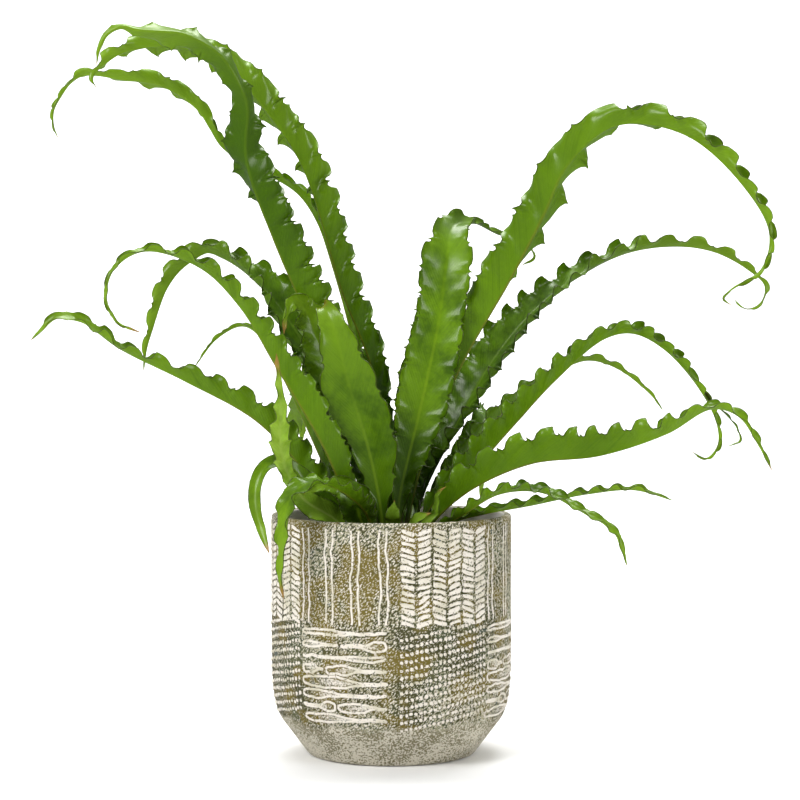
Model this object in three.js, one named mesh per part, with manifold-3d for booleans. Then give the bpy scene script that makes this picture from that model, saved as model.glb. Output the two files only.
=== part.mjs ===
// Osaka bird's nest fern growing in a straight stoneware pot with a sloped foot.
// Millimetres, +Z up. The pot stands on z = 0 with its axis on z, and -Y is the front.
// The pot is 150 mm wide, a usual size for a house fern of this height.
import * as THREE from 'three';
import Module from 'manifold-3d';
import { mergeVertices } from 'three/addons/utils/BufferGeometryUtils.js';

const wasm = await Module();
wasm.setup();

// Pot
const POT_RADIUS = 75;
const POT_HEIGHT = 150;
const POT_WALL = 5;
const POT_FLOOR = 8;
const FOOT_RADIUS = 50;
const FOOT_ROUND = 3;
const SLOPE_TOP = 22;          // height at which the sloped foot band starts to round into the wall
const SLOPE_TOP_RADIUS = 68.5;
const SHOULDER_TOP = 60;       // height at which the wall becomes straight
const RIM_ROUND = 1.6;
const POT_SEGMENTS = 56;
const SHOULDER_STEPS = 4;
const RIM_STEPS = 2;
const INSIDE_RAISE = 1;        // the wall's inner curve lies this much higher than the outer one

// Soil and crown
const GAP = 0.3;               // clearance between pieces that touch
const SOIL_TOP = 124;
const SOIL_HEAP = 4;           // rise of the soil from the wall to the crown
const SOIL_EDGE_DROP = 2;
const SOIL_EDGE_WIDTH = 12;
const SOIL_LIP_WIDTH = 6;      // ring of soil round the crown
const SOIL_LIP_DROP = 1;
const CROWN_RADIUS = 27;
const CROWN_RISE = 14;
const CROWN_ROOT = 12;         // depth of the crown in the soil
const CROWN_SEGMENTS = 28;
const CROWN_RINGS = 5;

// Sockets and blades
const SOCKET_DEPTH = 5;
const SOCKET_RADIUS = 3.2;
const SOCKET_SIDES = 6;
const SOCKET_CUT = 3;          // length of the cutter in socket depths, so it clears the dome
const STALK_THICKNESS = 2.8;
const STALK_ROUND = 0.4;       // share by which the stalk's upper face is flatter than its sides
const BLADE_THICKNESS = 1.0;
const STALK_HALF_WIDTH = 2.2;
const STALK_STRAIGHT = 8;      // length of plain stalk, which stands in the crown
const STALK_END = 34;          // length at which the stalk has become a blade
const KEEL = 0.5;              // extra thickness of the midrib under the blade
const CROWDED = [0.38, 0.58];  // share of the length between which the two halves become equal
const WAVE_SLOPE = 0.24;       // most that a margin rises, as a share of its wave length
const RUFFLE_SHARE = 0.34;     // most that a margin rises, as a share of the half width
const LOBE = 0.05;             // share of the half width by which the lobes stand out
const WAVE_LEAST = 0.65;       // lowest wave of a margin as a share of its full rise
const WAVE_SPREAD = 0.5;       // how much higher a wave may be, drawn for each wave
const WAVE_JITTER = 0.4;       // how much the length of a half wave may differ from its neighbours
const ROUTE_STEPS = 600;

// Every frond: foot on the crown, then the route of its midrib in mm. The lists width (half width
// in mm), roll and fold (degrees) and wave (length of the margin's waves in mm) are spaced evenly
// from foot to tip. Roll 0 shows the upper face to the front, and fold is how far each half is lifted
// out of the plane of the blade.
const FRONDS = [
  { name: 'frond_a', slot: 'leaf', foot: [-8, 3],
    wave: [18, 16, 14, 14, 16, 20, 24, 24, 20], ruffle: 4.2, sides: [1, 0.7], seed: 1,
    route: [[-11, 4, 177], [-44, 0, 255], [-72, -11, 319], [-89, -22, 370], [-88, -28, 401],
            [-92, -32, 414], [-102, -36, 430], [-114, -40, 439], [-126, -44, 444], [-139, -46, 445],
            [-153, -46, 446], [-163, -46, 448], [-172, -45, 443], [-176, -44, 435], [-178, -43, 425]],
    width: [2.2, 7, 12, 17, 20, 21, 20, 19, 18, 16, 9, 13, 15, 4, 1.2],
    roll: [-112, -112, -112, -112, -113, -114, -116, -120, -150, -190, -203, -206, -205, -195, -120],
    fold: [60, 64, 68, 68, 68, 66, 64, 60, 46, 36, 42, 55, 62, 60, 45] },
  { name: 'frond_b', slot: 'leaf', foot: [-1, 11],
    wave: [22, 26, 20, 16, 22, 22, 16], ruffle: 4.4, sides: [1, 0.7], seed: 2,
    route: [[-3, 13, 170], [-11, 15, 236], [-31, 17, 289], [-57, 22, 370], [-82, 22, 407],
            [-97, 22, 424], [-112, 22, 436], [-128, 21, 442], [-146, 20, 444], [-160, 19, 442],
            [-170, 18, 439], [-178, 17, 434], [-185, 17, 428], [-188, 16, 422], [-185, 16, 416]],
    width: [2.2, 6, 8, 10.5, 13, 14.5, 15, 15, 15.5, 15.5, 15, 12, 9, 7, 1],
    roll: [-115, -115, -115, -115, -115, -116, -118, -121, -130, -142, -148, -150, -145, -115, -90],
    fold: [60, 65, 65, 65, 65, 62, 58, 52, 48, 46, 45, 42, 35, 35, 45] },
  { name: 'frond_c', slot: 'leaf', foot: [-8, 14],
    wave: [16, 18, 22, 22, 20, 16], ruffle: 3.4, sides: [1, 1], seed: 3,
    route: [[-10, 26, 163], [-22, 48, 245], [-39, 67, 308], [-49, 65, 336], [-61, 62, 353],
            [-80, 60, 365], [-98, 58, 374], [-110, 57, 383], [-117, 56, 394], [-123, 55, 404],
            [-131, 54, 412], [-140, 53, 418], [-151, 52, 423], [-163, 51, 425], [-176, 50, 426],
            [-189, 49, 428], [-198, 49, 428], [-206, 48, 423], [-212, 48, 415], [-217, 47, 405],
            [-217, 47, 395], [-214, 47, 387]],
    width: [2.2, 7, 9, 10, 9, 8, 7, 6.5, 6, 6, 5, 7.5, 8, 5, 3, 1],
    roll: [-100, -100, -100, -100, -98, -95, -95, -95, -95, -98, -105, -135, -145, -115, -95, -90],
    fold: [50, 50, 50, 50, 48, 45, 45, 48, 52, 58, 58, 42, 36, 36, 35, 35] },
  { name: 'frond_e', slot: 'leaf', foot: [-15, -8],
    wave: [16, 16, 16, 18, 14], ruffle: 3.6, sides: [1, 0.6], seed: 4,
    route: [[-24, -22, 152], [-42, -32, 195], [-70, -36, 243], [-92, -47, 280], [-115, -61, 303],
            [-147, -74, 312], [-164, -79, 301], [-168, -82, 284], [-161, -83, 270], [-148, -82, 264]],
    width: [2.2, 9, 15, 16, 13, 10, 8, 4.5, 2, 1],
    roll: [-115, -120, -125, -125, -120, -110, -100, -95, -90, -90],
    fold: [55, 60, 60, 55, 50, 45, 45, 45, 40, 40] },
  { name: 'frond_f', slot: 'leaf_deep', foot: [-14, 8],
    wave: [15, 14, 14, 18, 16], ruffle: 3.8, sides: [0.6, 1], seed: 5,
    route: [[-20, 13, 165], [-32, 24, 202], [-46, 25, 235], [-62, 28, 265], [-79, 34, 288],
            [-97, 37, 304], [-109, 40, 311], [-118, 42, 314], [-128, 44, 309], [-137, 46, 302],
            [-145, 47, 291], [-150, 48, 279], [-154, 48, 266], [-158, 48, 253], [-160, 48, 238]],
    width: [2.2, 8, 13, 17, 20, 23, 25, 22, 15, 11, 10, 9, 7, 4, 1],
    roll: [-85, -70, -55, -45, -38, -34, -33, -36, -50, -70, -86, -94, -94, -92, -90],
    fold: [50, 40, 32, 28, 25, 25, 25, 30, 38, 45, 45, 45, 45, 45, 45] },
  { name: 'frond_h', slot: 'leaf', foot: [-22, -1],
    wave: [18, 17, 18, 20, 18], ruffle: 3.4, sides: [1, 0.8], seed: 6,
    route: [[-36, 1, 147], [-57, -2, 180], [-84, -12, 209], [-127, -28, 234], [-165, -42, 254],
            [-188, -50, 271], [-201, -53, 273], [-217, -54, 259]],
    width: [2.2, 9, 13, 15, 14, 12, 8, 6, 4, 1],
    roll: [-100, -110, -120, -125, -125, -120, -110, -80, -60, -60],
    fold: [50, 55, 50, 50, 48, 45, 45, 35, 25, 20] },
  { name: 'frond_i', slot: 'leaf', foot: [-21, 9],
    wave: [14, 14], ruffle: 2, sides: [1, 1], seed: 7,
    route: [[-33, 14, 157], [-62, 28, 220], [-86, 38, 262], [-96, 39, 267], [-112, 40, 259],
            [-127, 40, 240]],
    width: [2, 5, 6, 6, 5, 3, 1],
    roll: [-95, -95, -100, -100, -95, -90, -90],
    fold: [45, 45, 45, 45, 45, 40, 40] },
  { name: 'frond_j', slot: 'leaf_young', foot: [-16, -17],
    wave: [12, 14, 12], ruffle: 2.2, sides: [1, 1], seed: 8,
    route: [[-34, -21, 147], [-54, -34, 162], [-64, -44, 181], [-67, -57, 201], [-66, -66, 217],
            [-68, -76, 251]],
    width: [2, 5, 9, 8, 4.5, 5.5, 6.5, 4, 2, 0.9],
    roll: [-60, -50, -30, -10, 0, 10, 20, 10, 0, 0],
    fold: [35, 35, 30, 25, 22, 20, 20, 25, 30, 30] },
  { name: 'frond_k', slot: 'leaf', foot: [-7, -21], face: [0.77, -0.64],
    wave: [12, 10, 9, 12, 18, 20, 20], ruffle: 2.4, sides: [1, 1], seed: 9,
    route: [[-15, -38, 153], [-24, -52, 164], [-34, -62, 171], [-44, -68, 174], [-52, -72, 172],
            [-59, -74, 167], [-62, -75, 158], [-64, -75, 146], [-65, -74, 133], [-66, -74, 119],
            [-64, -74, 105]],
    width: [2, 4, 6, 8, 9.5, 10, 9.5, 8.6, 7, 5, 3.4, 2.4, 0.9],
    roll: [-90, -90, -90, -90, -90, -85, -76, -68, -62, -60, -60, -65, -70],
    fold: [30, 30, 28, 25, 22, 20, 18, 16, 16, 16, 16, 16, 16] },
  { name: 'frond_d', slot: 'leaf', foot: [-20, -12],
    wave: [12, 16, 18], ruffle: 1, sides: [1, 1], seed: 10,
    route: [[-38, -15, 152], [-50, -19, 166], [-60, -23, 178], [-68, -27, 184], [-76, -30, 182],
            [-82, -34, 173], [-83, -38, 159], [-79, -43, 144], [-74, -50, 130]],
    width: [2, 6, 8, 7, 5, 4.4, 4.2, 3, 1],
    roll: [-60, -40, -20, -30, -50, -60, -60, -60, -60],
    fold: [30, 25, 20, 20, 25, 25, 25, 25, 25] },
  { name: 'frond_v', slot: 'leaf', foot: [-12, -14],
    wave: [10, 10], ruffle: 2.6, sides: [1, 1], seed: 11,
    route: [[-18, -25, 145], [-23, -32, 160], [-31, -35, 169], [-42, -37, 170], [-53, -38, 165]],
    width: [2, 8, 12, 12, 8, 3.5, 1],
    roll: [-10, -10, -15, -20, -20, -10, 0],
    fold: [25, 20, 15, 15, 20, 25, 25] },
  { name: 'frond_l', slot: 'leaf', foot: [-5, -12],
    wave: [26, 30, 28, 18], ruffle: 2.8, sides: [0.62, 1], seed: 12,
    route: [[-7, -15, 157], [-14, -17, 191], [-25, -24, 228], [-34, -28, 262], [-39, -25, 275],
            [-42, -20, 279], [-43, -16, 275]],
    width: [2.2, 7, 14, 19, 20, 18, 14, 9, 3],
    roll: [0, 0, 0, 0, 0, 0, 0, 0, 0],
    fold: [30, 22, 18, 16, 16, 16, 18, 20, 20] },
  { name: 'frond_g', slot: 'leaf', foot: [-6, -4],
    wave: [18, 16, 14], ruffle: 3.2, sides: [0.7, 1], seed: 13,
    route: [[-12, -5, 165], [-25, -10, 212], [-45, -10, 257], [-55, -13, 280], [-60, -18, 284],
            [-65, -23, 276], [-66, -26, 262]],
    width: [2.2, 8, 14, 18, 19, 17, 12, 5, 1],
    roll: [0, 0, 0, -5, -10, -15, -20, -30, -30],
    fold: [30, 22, 18, 16, 16, 18, 20, 22, 25] },
  { name: 'frond_m', slot: 'leaf', foot: [4, -4],
    wave: [14, 15, 17, 15], ruffle: 3.4, sides: [1, 1], seed: 14,
    route: [[5, -3, 159], [18, 1, 215], [30, 3, 272], [35, 8, 311], [39, 21, 329], [52, 36, 333],
            [69, 50, 326], [85, 55, 322], [92, 55, 312], [84, 52, 306]],
    width: [2.2, 8, 14, 18, 18, 16.5, 18, 12, 5, 3, 1],
    roll: [0, 0, 0, 0, 0, 0, 0, 0, 0, 0, 0],
    fold: [30, 25, 20, 18, 18, 18, 20, 25, 30, 30, 30] },
  { name: 'frond_n', slot: 'leaf', foot: [8, 5],
    wave: [18, 18, 24, 28, 28, 24, 20, 16], ruffle: 5, sides: [0.7, 1], seed: 15,
    route: [[13, 9, 158], [24, 11, 196], [45, 8, 245], [75, 1, 298], [95, -5, 337], [107, -11, 364],
            [128, -18, 386], [147, -22, 392], [182, -30, 383], [215, -36, 352], [230, -39, 324],
            [225, -40, 302], [207, -40, 290], [202, -39, 284], [207, -39, 280]],
    width: [2.2, 9, 14, 18, 21, 20, 16, 13, 10.5, 6.5, 3, 1],
    roll: [115, 118, 118, 121, 136, 155, 157, 138, 120, 106, 96, 90],
    fold: [60, 62, 62, 59, 50, 42, 42, 44, 45, 43, 40, 40] },
  { name: 'frond_o', slot: 'leaf_deep', foot: [13, 10],
    wave: [15, 15, 14, 18, 18, 14], ruffle: 3.6, sides: [1, 1], seed: 16,
    route: [[20, 23, 160], [39, 32, 198], [65, 45, 244], [92, 56, 276], [123, 64, 300], [155, 69, 315],
            [188, 71, 319], [212, 71, 315], [232, 67, 304], [243, 64, 293], [240, 62, 282],
            [231, 63, 278], [222, 65, 285]],
    width: [2.2, 10, 17, 20, 18, 15, 12, 10, 8.5, 6, 3, 1],
    roll: [90, 75, 60, 55, 55, 60, 65, 75, 85, 90, 90, 90],
    fold: [50, 44, 38, 35, 35, 35, 35, 38, 40, 40, 40, 40] },
  { name: 'frond_p', slot: 'leaf', foot: [14, -1],
    wave: [15, 15, 15, 15, 16, 14], ruffle: 3.4, sides: [0.8, 1], seed: 17,
    route: [[24, -2, 154], [52, -4, 179], [76, -10, 206], [101, -20, 234], [131, -31, 260],
            [148, -35, 263], [167, -38, 253], [187, -42, 230], [198, -42, 209], [199, -41, 195],
            [192, -41, 187], [183, -41, 191]],
    width: [2.2, 9, 14, 15, 13, 11, 9, 8, 6, 4, 2.6, 1],
    roll: [110, 112, 115, 115, 115, 112, 108, 104, 100, 95, 90, 90],
    fold: [52, 52, 50, 50, 48, 46, 45, 45, 45, 40, 40, 40] },
  { name: 'frond_t', slot: 'leaf_deep', foot: [20, 5],
    wave: [14, 14, 14], ruffle: 2.6, sides: [1, 1], seed: 18,
    route: [[31, 13, 158], [50, 20, 190], [75, 28, 216], [102, 37, 235], [125, 42, 245], [145, 45, 240],
            [168, 46, 222], [175, 44, 212]],
    width: [2, 6, 9, 9, 8, 6, 5, 3, 1],
    roll: [95, 95, 98, 100, 100, 98, 95, 92, 90],
    fold: [45, 45, 42, 40, 40, 38, 35, 35, 35] },
  { name: 'frond_q', slot: 'leaf', foot: [15, -9],
    wave: [18, 18, 16, 18, 16], ruffle: 3.6, sides: [0.65, 1], seed: 19,
    route: [[30, -19, 151], [52, -28, 169], [85, -41, 184], [126, -59, 190], [164, -77, 204],
            [189, -88, 219], [204, -93, 215], [216, -98, 197], [223, -100, 183]],
    width: [2.2, 10, 17, 19, 20, 19, 16, 10, 6, 3.4, 1],
    roll: [115, 118, 120, 125, 125, 122, 118, 110, 100, 95, 90],
    fold: [55, 55, 52, 50, 50, 48, 45, 40, 35, 30, 30] },
  { name: 'frond_r', slot: 'leaf_deep', foot: [17, 16], face: [1, -0.5],
    wave: [14, 14], ruffle: 2.8, sides: [1, 1], seed: 20,
    route: [[30, 27, 158], [50, 42, 188], [62, 56, 206], [66, 80, 208], [64, 112, 186], [60, 136, 150]],
    width: [2, 7, 10, 11, 10, 8, 5, 1],
    roll: [95, 95, 92, 90, 90, 90, 90, 90],
    fold: [45, 42, 40, 38, 35, 35, 35, 35] },
  { name: 'frond_s', slot: 'leaf', foot: [13, -19],
    wave: [13, 12], ruffle: 2.2, sides: [1, 1], seed: 21,
    route: [[28, -37, 143], [43, -46, 153], [65, -62, 167], [89, -76, 169], [112, -91, 159],
            [131, -100, 147], [138, -103, 128]],
    width: [2, 4, 6, 7, 7, 6, 4, 3, 1],
    roll: [100, 100, 100, 105, 105, 100, 95, 90, 90],
    fold: [45, 45, 45, 42, 42, 40, 35, 35, 35] },
  { name: 'frond_w', slot: 'leaf', foot: [21, -10],
    wave: [13, 14], ruffle: 2, sides: [1, 1], seed: 22,
    route: [[39, -28, 147], [57, -36, 153], [85, -47, 159], [118, -63, 167], [146, -72, 170],
            [168, -76, 164]],
    width: [2, 4, 6, 6, 5.5, 5, 4, 1],
    roll: [100, 100, 100, 100, 105, 105, 100, 95],
    fold: [45, 45, 45, 42, 40, 38, 35, 35] },
  { name: 'frond_u', slot: 'leaf_young', foot: [15, -14],
    wave: [9, 9], ruffle: 1, sides: [1, 1], seed: 23,
    route: [[22, -26, 147], [27, -29, 154], [28, -32, 161], [29, -35, 166], [33, -36, 169]],
    width: [1.6, 2.6, 3.6, 3, 2, 0.8],
    roll: [60, 40, 20, 0, 0, 0],
    fold: [30, 30, 35, 40, 40, 40] },
  { name: 'frond_x', slot: 'leaf_deep', foot: [0, -21],
    wave: [9, 9], ruffle: 1.6, sides: [1, 1], seed: 24,
    route: [[1, -33, 143], [1, -41, 152], [2, -43, 161]],
    width: [1.8, 4, 6, 5, 1.5],
    roll: [0, 0, 0, 0, 0],
    fold: [25, 20, 15, 15, 15] },
  { name: 'frond_y', slot: 'leaf_young', foot: [7, -21],
    wave: [9, 9], ruffle: 1.4, sides: [1, 1], seed: 25,
    route: [[13, -35, 143], [17, -43, 151], [24, -48, 154]],
    width: [1.8, 3.5, 4.5, 3.5, 1],
    roll: [20, 20, 30, 40, 50],
    fold: [25, 25, 25, 25, 25] },
  { name: 'frond_back_1', slot: 'leaf', foot: [4, 18], face: [1, 0],
    wave: [18, 18, 16], ruffle: 3.4, sides: [1, 1], seed: 26,
    route: [[6, 42, 168], [15, 62, 225], [26, 88, 266], [30, 122, 284], [28, 158, 270], [25, 184, 236],
            [23, 194, 206]],
    width: [2.2, 9, 13, 15, 15, 13, 9, 5, 1],
    roll: [90, 90, 90, 90, 90, 90, 90, 90, 90],
    fold: [45, 42, 38, 35, 35, 35, 35, 35, 35] },
  { name: 'frond_back_2', slot: 'leaf_deep', foot: [-5, 22], face: [1, 0.4],
    wave: [16, 18, 15], ruffle: 3.2, sides: [1, 1], seed: 27,
    route: [[-14, 46, 168], [-27, 68, 210], [-41, 96, 236], [-52, 128, 240], [-60, 160, 214],
            [-64, 178, 178]],
    width: [2.2, 9, 13, 15, 14, 12, 8, 4, 1],
    roll: [90, 90, 90, 90, 90, 90, 90, 90, 90],
    fold: [45, 42, 38, 35, 35, 35, 35, 35, 35] },
  { name: 'frond_back_3', slot: 'leaf', foot: [7, 22], face: [1, -0.1],
    wave: [15, 15], ruffle: 2.8, sides: [1, 1], seed: 28,
    route: [[13, 44, 148], [15, 74, 174], [14, 108, 182], [14, 140, 162], [12, 158, 130]],
    width: [2, 8, 11, 12, 10, 7, 4, 1],
    roll: [90, 90, 90, 90, 90, 90, 90, 90],
    fold: [42, 38, 35, 32, 30, 30, 30, 30] },
  { name: 'frond_back_4', slot: 'leaf_deep', foot: [-16, 18], face: [0.8, 0.6],
    wave: [16, 15], ruffle: 3, sides: [1, 1], seed: 29,
    route: [[-34, 33, 158], [-45, 53, 192], [-54, 84, 214], [-62, 118, 214], [-68, 146, 190],
            [-70, 162, 154]],
    width: [2, 8, 12, 13, 12, 10, 7, 3, 1],
    roll: [90, 90, 90, 90, 90, 90, 90, 90],
    fold: [42, 40, 36, 35, 32, 30, 30, 30] },
];

// The last part of frond P is forked: a second, shorter tip grows out of its blade.
const FORK = { parent: 'frond_p', wave: [10, 10], ruffle: 0.6, sides: [1, 1], seed: 30, face: [0, -1],
  route: [[186, -42, 232], [195, -40, 222], [205, -37, 213], [212, -35, 204], [213, -34, 197],
          [206, -34, 194]],
  width: [2, 2.4, 2.2, 1.6, 1],
  roll: [90, 90, 90, 90, 90],
  fold: [20, 20, 20, 20, 20] };

const UP = new THREE.Vector3(0, 0, 1);

function crownTop(x, y) {
  const share = (x * x + y * y) / (CROWN_RADIUS * CROWN_RADIUS);
  return SOIL_TOP + SOIL_HEAP + CROWN_RISE * (1 - share);
}

// A repeatable random number from 0 to 1
function chance(seed, index) {
  const raw = Math.sin(seed * 127.1 + index * 311.7) * 43758.5453;
  return raw - Math.floor(raw);
}

function mix(first, firstShare, second, secondShare) {
  return first.clone().multiplyScalar(firstShare).addScaledVector(second, secondShare);
}

// Smooth value at share u of a list spaced evenly from 0 to 1
function along(list, u) {
  const last = list.length - 1;
  const place = Math.min(u, 0.999999) * last;
  const cell = Math.floor(place);
  const step = place - cell;
  const ease = step * step * (3 - 2 * step);
  return list[cell] + (list[cell + 1] - list[cell]) * ease;
}

function fullRoute(frond) {
  const points = frond.route.map((p) => new THREE.Vector3(...p));
  if (frond.foot) {
    const [x, y] = frond.foot;
    points.unshift(new THREE.Vector3(x, y, crownTop(x, y) - SOCKET_DEPTH));
  }
  const curve = new THREE.CatmullRomCurve3(points, false, 'centripetal');
  curve.arcLengthDivisions = ROUTE_STEPS;
  return curve;
}

// Shares of the length at which the margins turn, from the foot to the tip
function turningShares(frond, length) {
  const places = [0];
  while (places.at(-1) < length) {
    const half = along(frond.wave, Math.min(1, places.at(-1) / length)) / 2;
    const jitter = 1 + WAVE_JITTER * (chance(frond.seed, places.length) - 0.5);
    places.push(places.at(-1) + half * jitter);
  }
  return places.map((place) => place / places.at(-1));
}

// A blade as a closed ribbon. Each station has three points on the upper face and three under it.
function bladeGeometry(frond) {
  const curve = fullRoute(frond);
  const length = curve.getLength();
  const shares = turningShares(frond, length);
  const stations = shares.length;
  const [faceX, faceY] = frond.face ?? [0, -1];
  const front = new THREE.Vector3(faceX, faceY, 0).normalize();
  const positions = [];
  let tangentBefore = null;
  for (let k = 0; k < stations; k += 1) {
    const u = shares[k];
    const point = curve.getPointAt(u);
    const tangent = curve.getTangentAt(u);
    if (tangentBefore) {
      front.applyQuaternion(new THREE.Quaternion().setFromUnitVectors(tangentBefore, tangent));
    }
    front.addScaledVector(tangent, -front.dot(tangent)).normalize();
    tangentBefore = tangent.clone();
    const right = new THREE.Vector3().crossVectors(tangent, front);
    const roll = THREE.MathUtils.degToRad(along(frond.roll, u));
    const blade = frond.foot ? THREE.MathUtils.smoothstep(u * length, STALK_STRAIGHT, STALK_END) : 1;
    const stalk = 1 - blade;
    const fold = THREE.MathUtils.degToRad(along(frond.fold, u)) * (1 - stalk);
    const across = mix(right, Math.cos(roll), front, Math.sin(roll));
    const normal = mix(right, -Math.sin(roll), front, Math.cos(roll));
    const halfWidth = stalk * STALK_HALF_WIDTH + blade * along(frond.width, u);
    const thickness = BLADE_THICKNESS + (STALK_THICKNESS - BLADE_THICKNESS) * stalk;
    const steepest = WAVE_SLOPE * along(frond.wave, u);
    const rise = Math.min(frond.ruffle, RUFFLE_SHARE * halfWidth, steepest) * (1 - stalk);
    const free = THREE.MathUtils.smoothstep(u, ...CROWDED);
    const tip = k === stations - 1;
    const margins = [-1, 1].map((side) => {
      const out = mix(across, side * Math.cos(fold), normal, Math.sin(fold));
      const face = mix(across, -side * Math.sin(fold), normal, Math.cos(fold));
      const share = THREE.MathUtils.lerp(frond.sides[side < 0 ? 0 : 1], 1, free);
      const sign = (k % 2 === 0 ? 1 : -1) * (side < 0 && frond.seed % 2 ? -1 : 1);
      const height = tip ? 0 : sign * rise * (WAVE_LEAST + WAVE_SPREAD * chance(frond.seed + side, k));
      const reach = halfWidth * Math.max(share, stalk) * (1 + (tip ? 0 : LOBE * sign * (1 - stalk)));
      const middle = point.clone().addScaledVector(out, reach).addScaledVector(face, height);
      return {
        top: middle.clone().addScaledVector(face, thickness / 2),
        bottom: middle.clone().addScaledVector(face, -thickness / 2),
      };
    });
    const lift = thickness / 2 / Math.cos(fold);
    const ridge = point.clone().addScaledVector(normal, lift * (1 - STALK_ROUND * stalk));
    const keel = point.clone().addScaledVector(normal, -lift - KEEL * (1 - u));
    for (const p of [margins[0].top, ridge, margins[1].top, margins[1].bottom, keel, margins[0].bottom]) {
      positions.push(p.x, p.y, p.z);
    }
  }
  // Points of a station: 0 left top, 1 ridge, 2 right top, 3 right bottom, 4 keel, 5 left bottom
  const index = [];
  for (let k = 0; k < stations - 1; k += 1) {
    const a = 6 * k;
    const b = a + 6;
    index.push(a, a + 1, b, a + 1, b + 1, b);
    index.push(a + 1, a + 2, b + 2, a + 1, b + 2, b + 1);
    index.push(a + 2, a + 3, b + 3, a + 2, b + 3, b + 2);
    index.push(a + 4, b + 3, a + 3, a + 4, b + 4, b + 3);
    index.push(a + 5, b + 5, a + 4, a + 4, b + 5, b + 4);
    index.push(a + 5, a, b, a + 5, b, b + 5);
  }
  const e = 6 * (stations - 1);
  for (const [p, q, r] of [[0, 5, 4], [0, 4, 1], [1, 4, 3], [1, 3, 2]]) {
    index.push(p, q, r);
    index.push(e + p, e + r, e + q);
  }
  const geometry = new THREE.BufferGeometry();
  geometry.setAttribute('position', new THREE.Float32BufferAttribute(positions, 3));
  geometry.setIndex(index);
  return geometry;
}

function toSolid(geometry) {
  const bare = geometry.clone();
  bare.deleteAttribute('normal');
  bare.deleteAttribute('uv');
  const merged = mergeVertices(bare, 1e-4);
  return new wasm.Manifold(new wasm.Mesh({
    numProp: 3,
    vertProperties: new Float32Array(merged.attributes.position.array),
    triVerts: new Uint32Array(merged.index.array),
  }));
}

function toGeometry(solid) {
  const mesh = solid.getMesh();
  const geometry = new THREE.BufferGeometry();
  geometry.setAttribute('position', new THREE.BufferAttribute(new Float32Array(mesh.vertProperties), 3));
  geometry.setIndex(new THREE.BufferAttribute(new Uint32Array(mesh.triVerts), 1));
  return geometry;
}

// A turned piece from [radius, height] points, with z as its axis
function turned(profile, segments) {
  const points = profile.map(([radius, height]) => new THREE.Vector2(radius, height));
  return new THREE.LatheGeometry(points, segments).rotateX(Math.PI / 2);
}

function arc(centre, radius, fromDegrees, toDegrees, steps) {
  return Array.from({ length: steps + 1 }, (_, i) => {
    const angle = THREE.MathUtils.degToRad(fromDegrees + (toDegrees - fromDegrees) * i / steps);
    return [centre[0] + radius * Math.cos(angle), centre[1] + radius * Math.sin(angle)];
  });
}

// Outer curve from the sloped foot band into the straight wall
function shoulder(steps) {
  const start = new THREE.Vector2(SLOPE_TOP_RADIUS, SLOPE_TOP);
  const end = new THREE.Vector2(POT_RADIUS, SHOULDER_TOP);
  const slope = (SLOPE_TOP_RADIUS - FOOT_RADIUS - FOOT_ROUND) / (SLOPE_TOP - FOOT_ROUND / 2);
  const corner = new THREE.Vector2(POT_RADIUS, SLOPE_TOP + (POT_RADIUS - SLOPE_TOP_RADIUS) / slope);
  return new THREE.QuadraticBezierCurve(start, corner, end).getPoints(steps).map((p) => [p.x, p.y]);
}

function potGeometry() {
  const footEdge = [FOOT_RADIUS + FOOT_ROUND, FOOT_ROUND / 2];
  const outside = [[FOOT_RADIUS, 0], footEdge, ...shoulder(SHOULDER_STEPS)];
  const rimCentre = [POT_RADIUS - POT_WALL / 2, POT_HEIGHT - RIM_ROUND];
  const rim = [
    ...arc([POT_RADIUS - RIM_ROUND, rimCentre[1]], RIM_ROUND, 0, 90, RIM_STEPS),
    ...arc([POT_RADIUS - POT_WALL + RIM_ROUND, rimCentre[1]], RIM_ROUND, 90, 180, RIM_STEPS),
  ];
  const inside = shoulder(SHOULDER_STEPS).reverse().map(([r, z]) => [r - POT_WALL, z + INSIDE_RAISE]);
  const profile = [[0, 0], ...outside, ...rim, ...inside, [FOOT_RADIUS, POT_FLOOR], [0, POT_FLOOR]];
  return turned(profile, POT_SEGMENTS);
}

// Soil fills the pot to a little below the rim and has a plain hole for the crown
function soilGeometry() {
  const radius = POT_RADIUS - POT_WALL - GAP;
  const inner = shoulder(SHOULDER_STEPS).map(([r, z]) => [r - POT_WALL - GAP, z + INSIDE_RAISE]);
  const hole = CROWN_RADIUS + GAP;
  const heap = SOIL_TOP + SOIL_HEAP;
  const holeFloor = heap - CROWN_ROOT - GAP;
  const profile = [
    [0, POT_FLOOR + GAP], [FOOT_RADIUS - GAP, POT_FLOOR + GAP], ...inner,
    [radius, SOIL_TOP - SOIL_EDGE_DROP], [radius - SOIL_EDGE_WIDTH, SOIL_TOP],
    [hole + SOIL_LIP_WIDTH, heap], [hole, heap - SOIL_LIP_DROP], [hole, holeFloor], [0, holeFloor],
  ];
  return turned(profile, POT_SEGMENTS);
}

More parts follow.
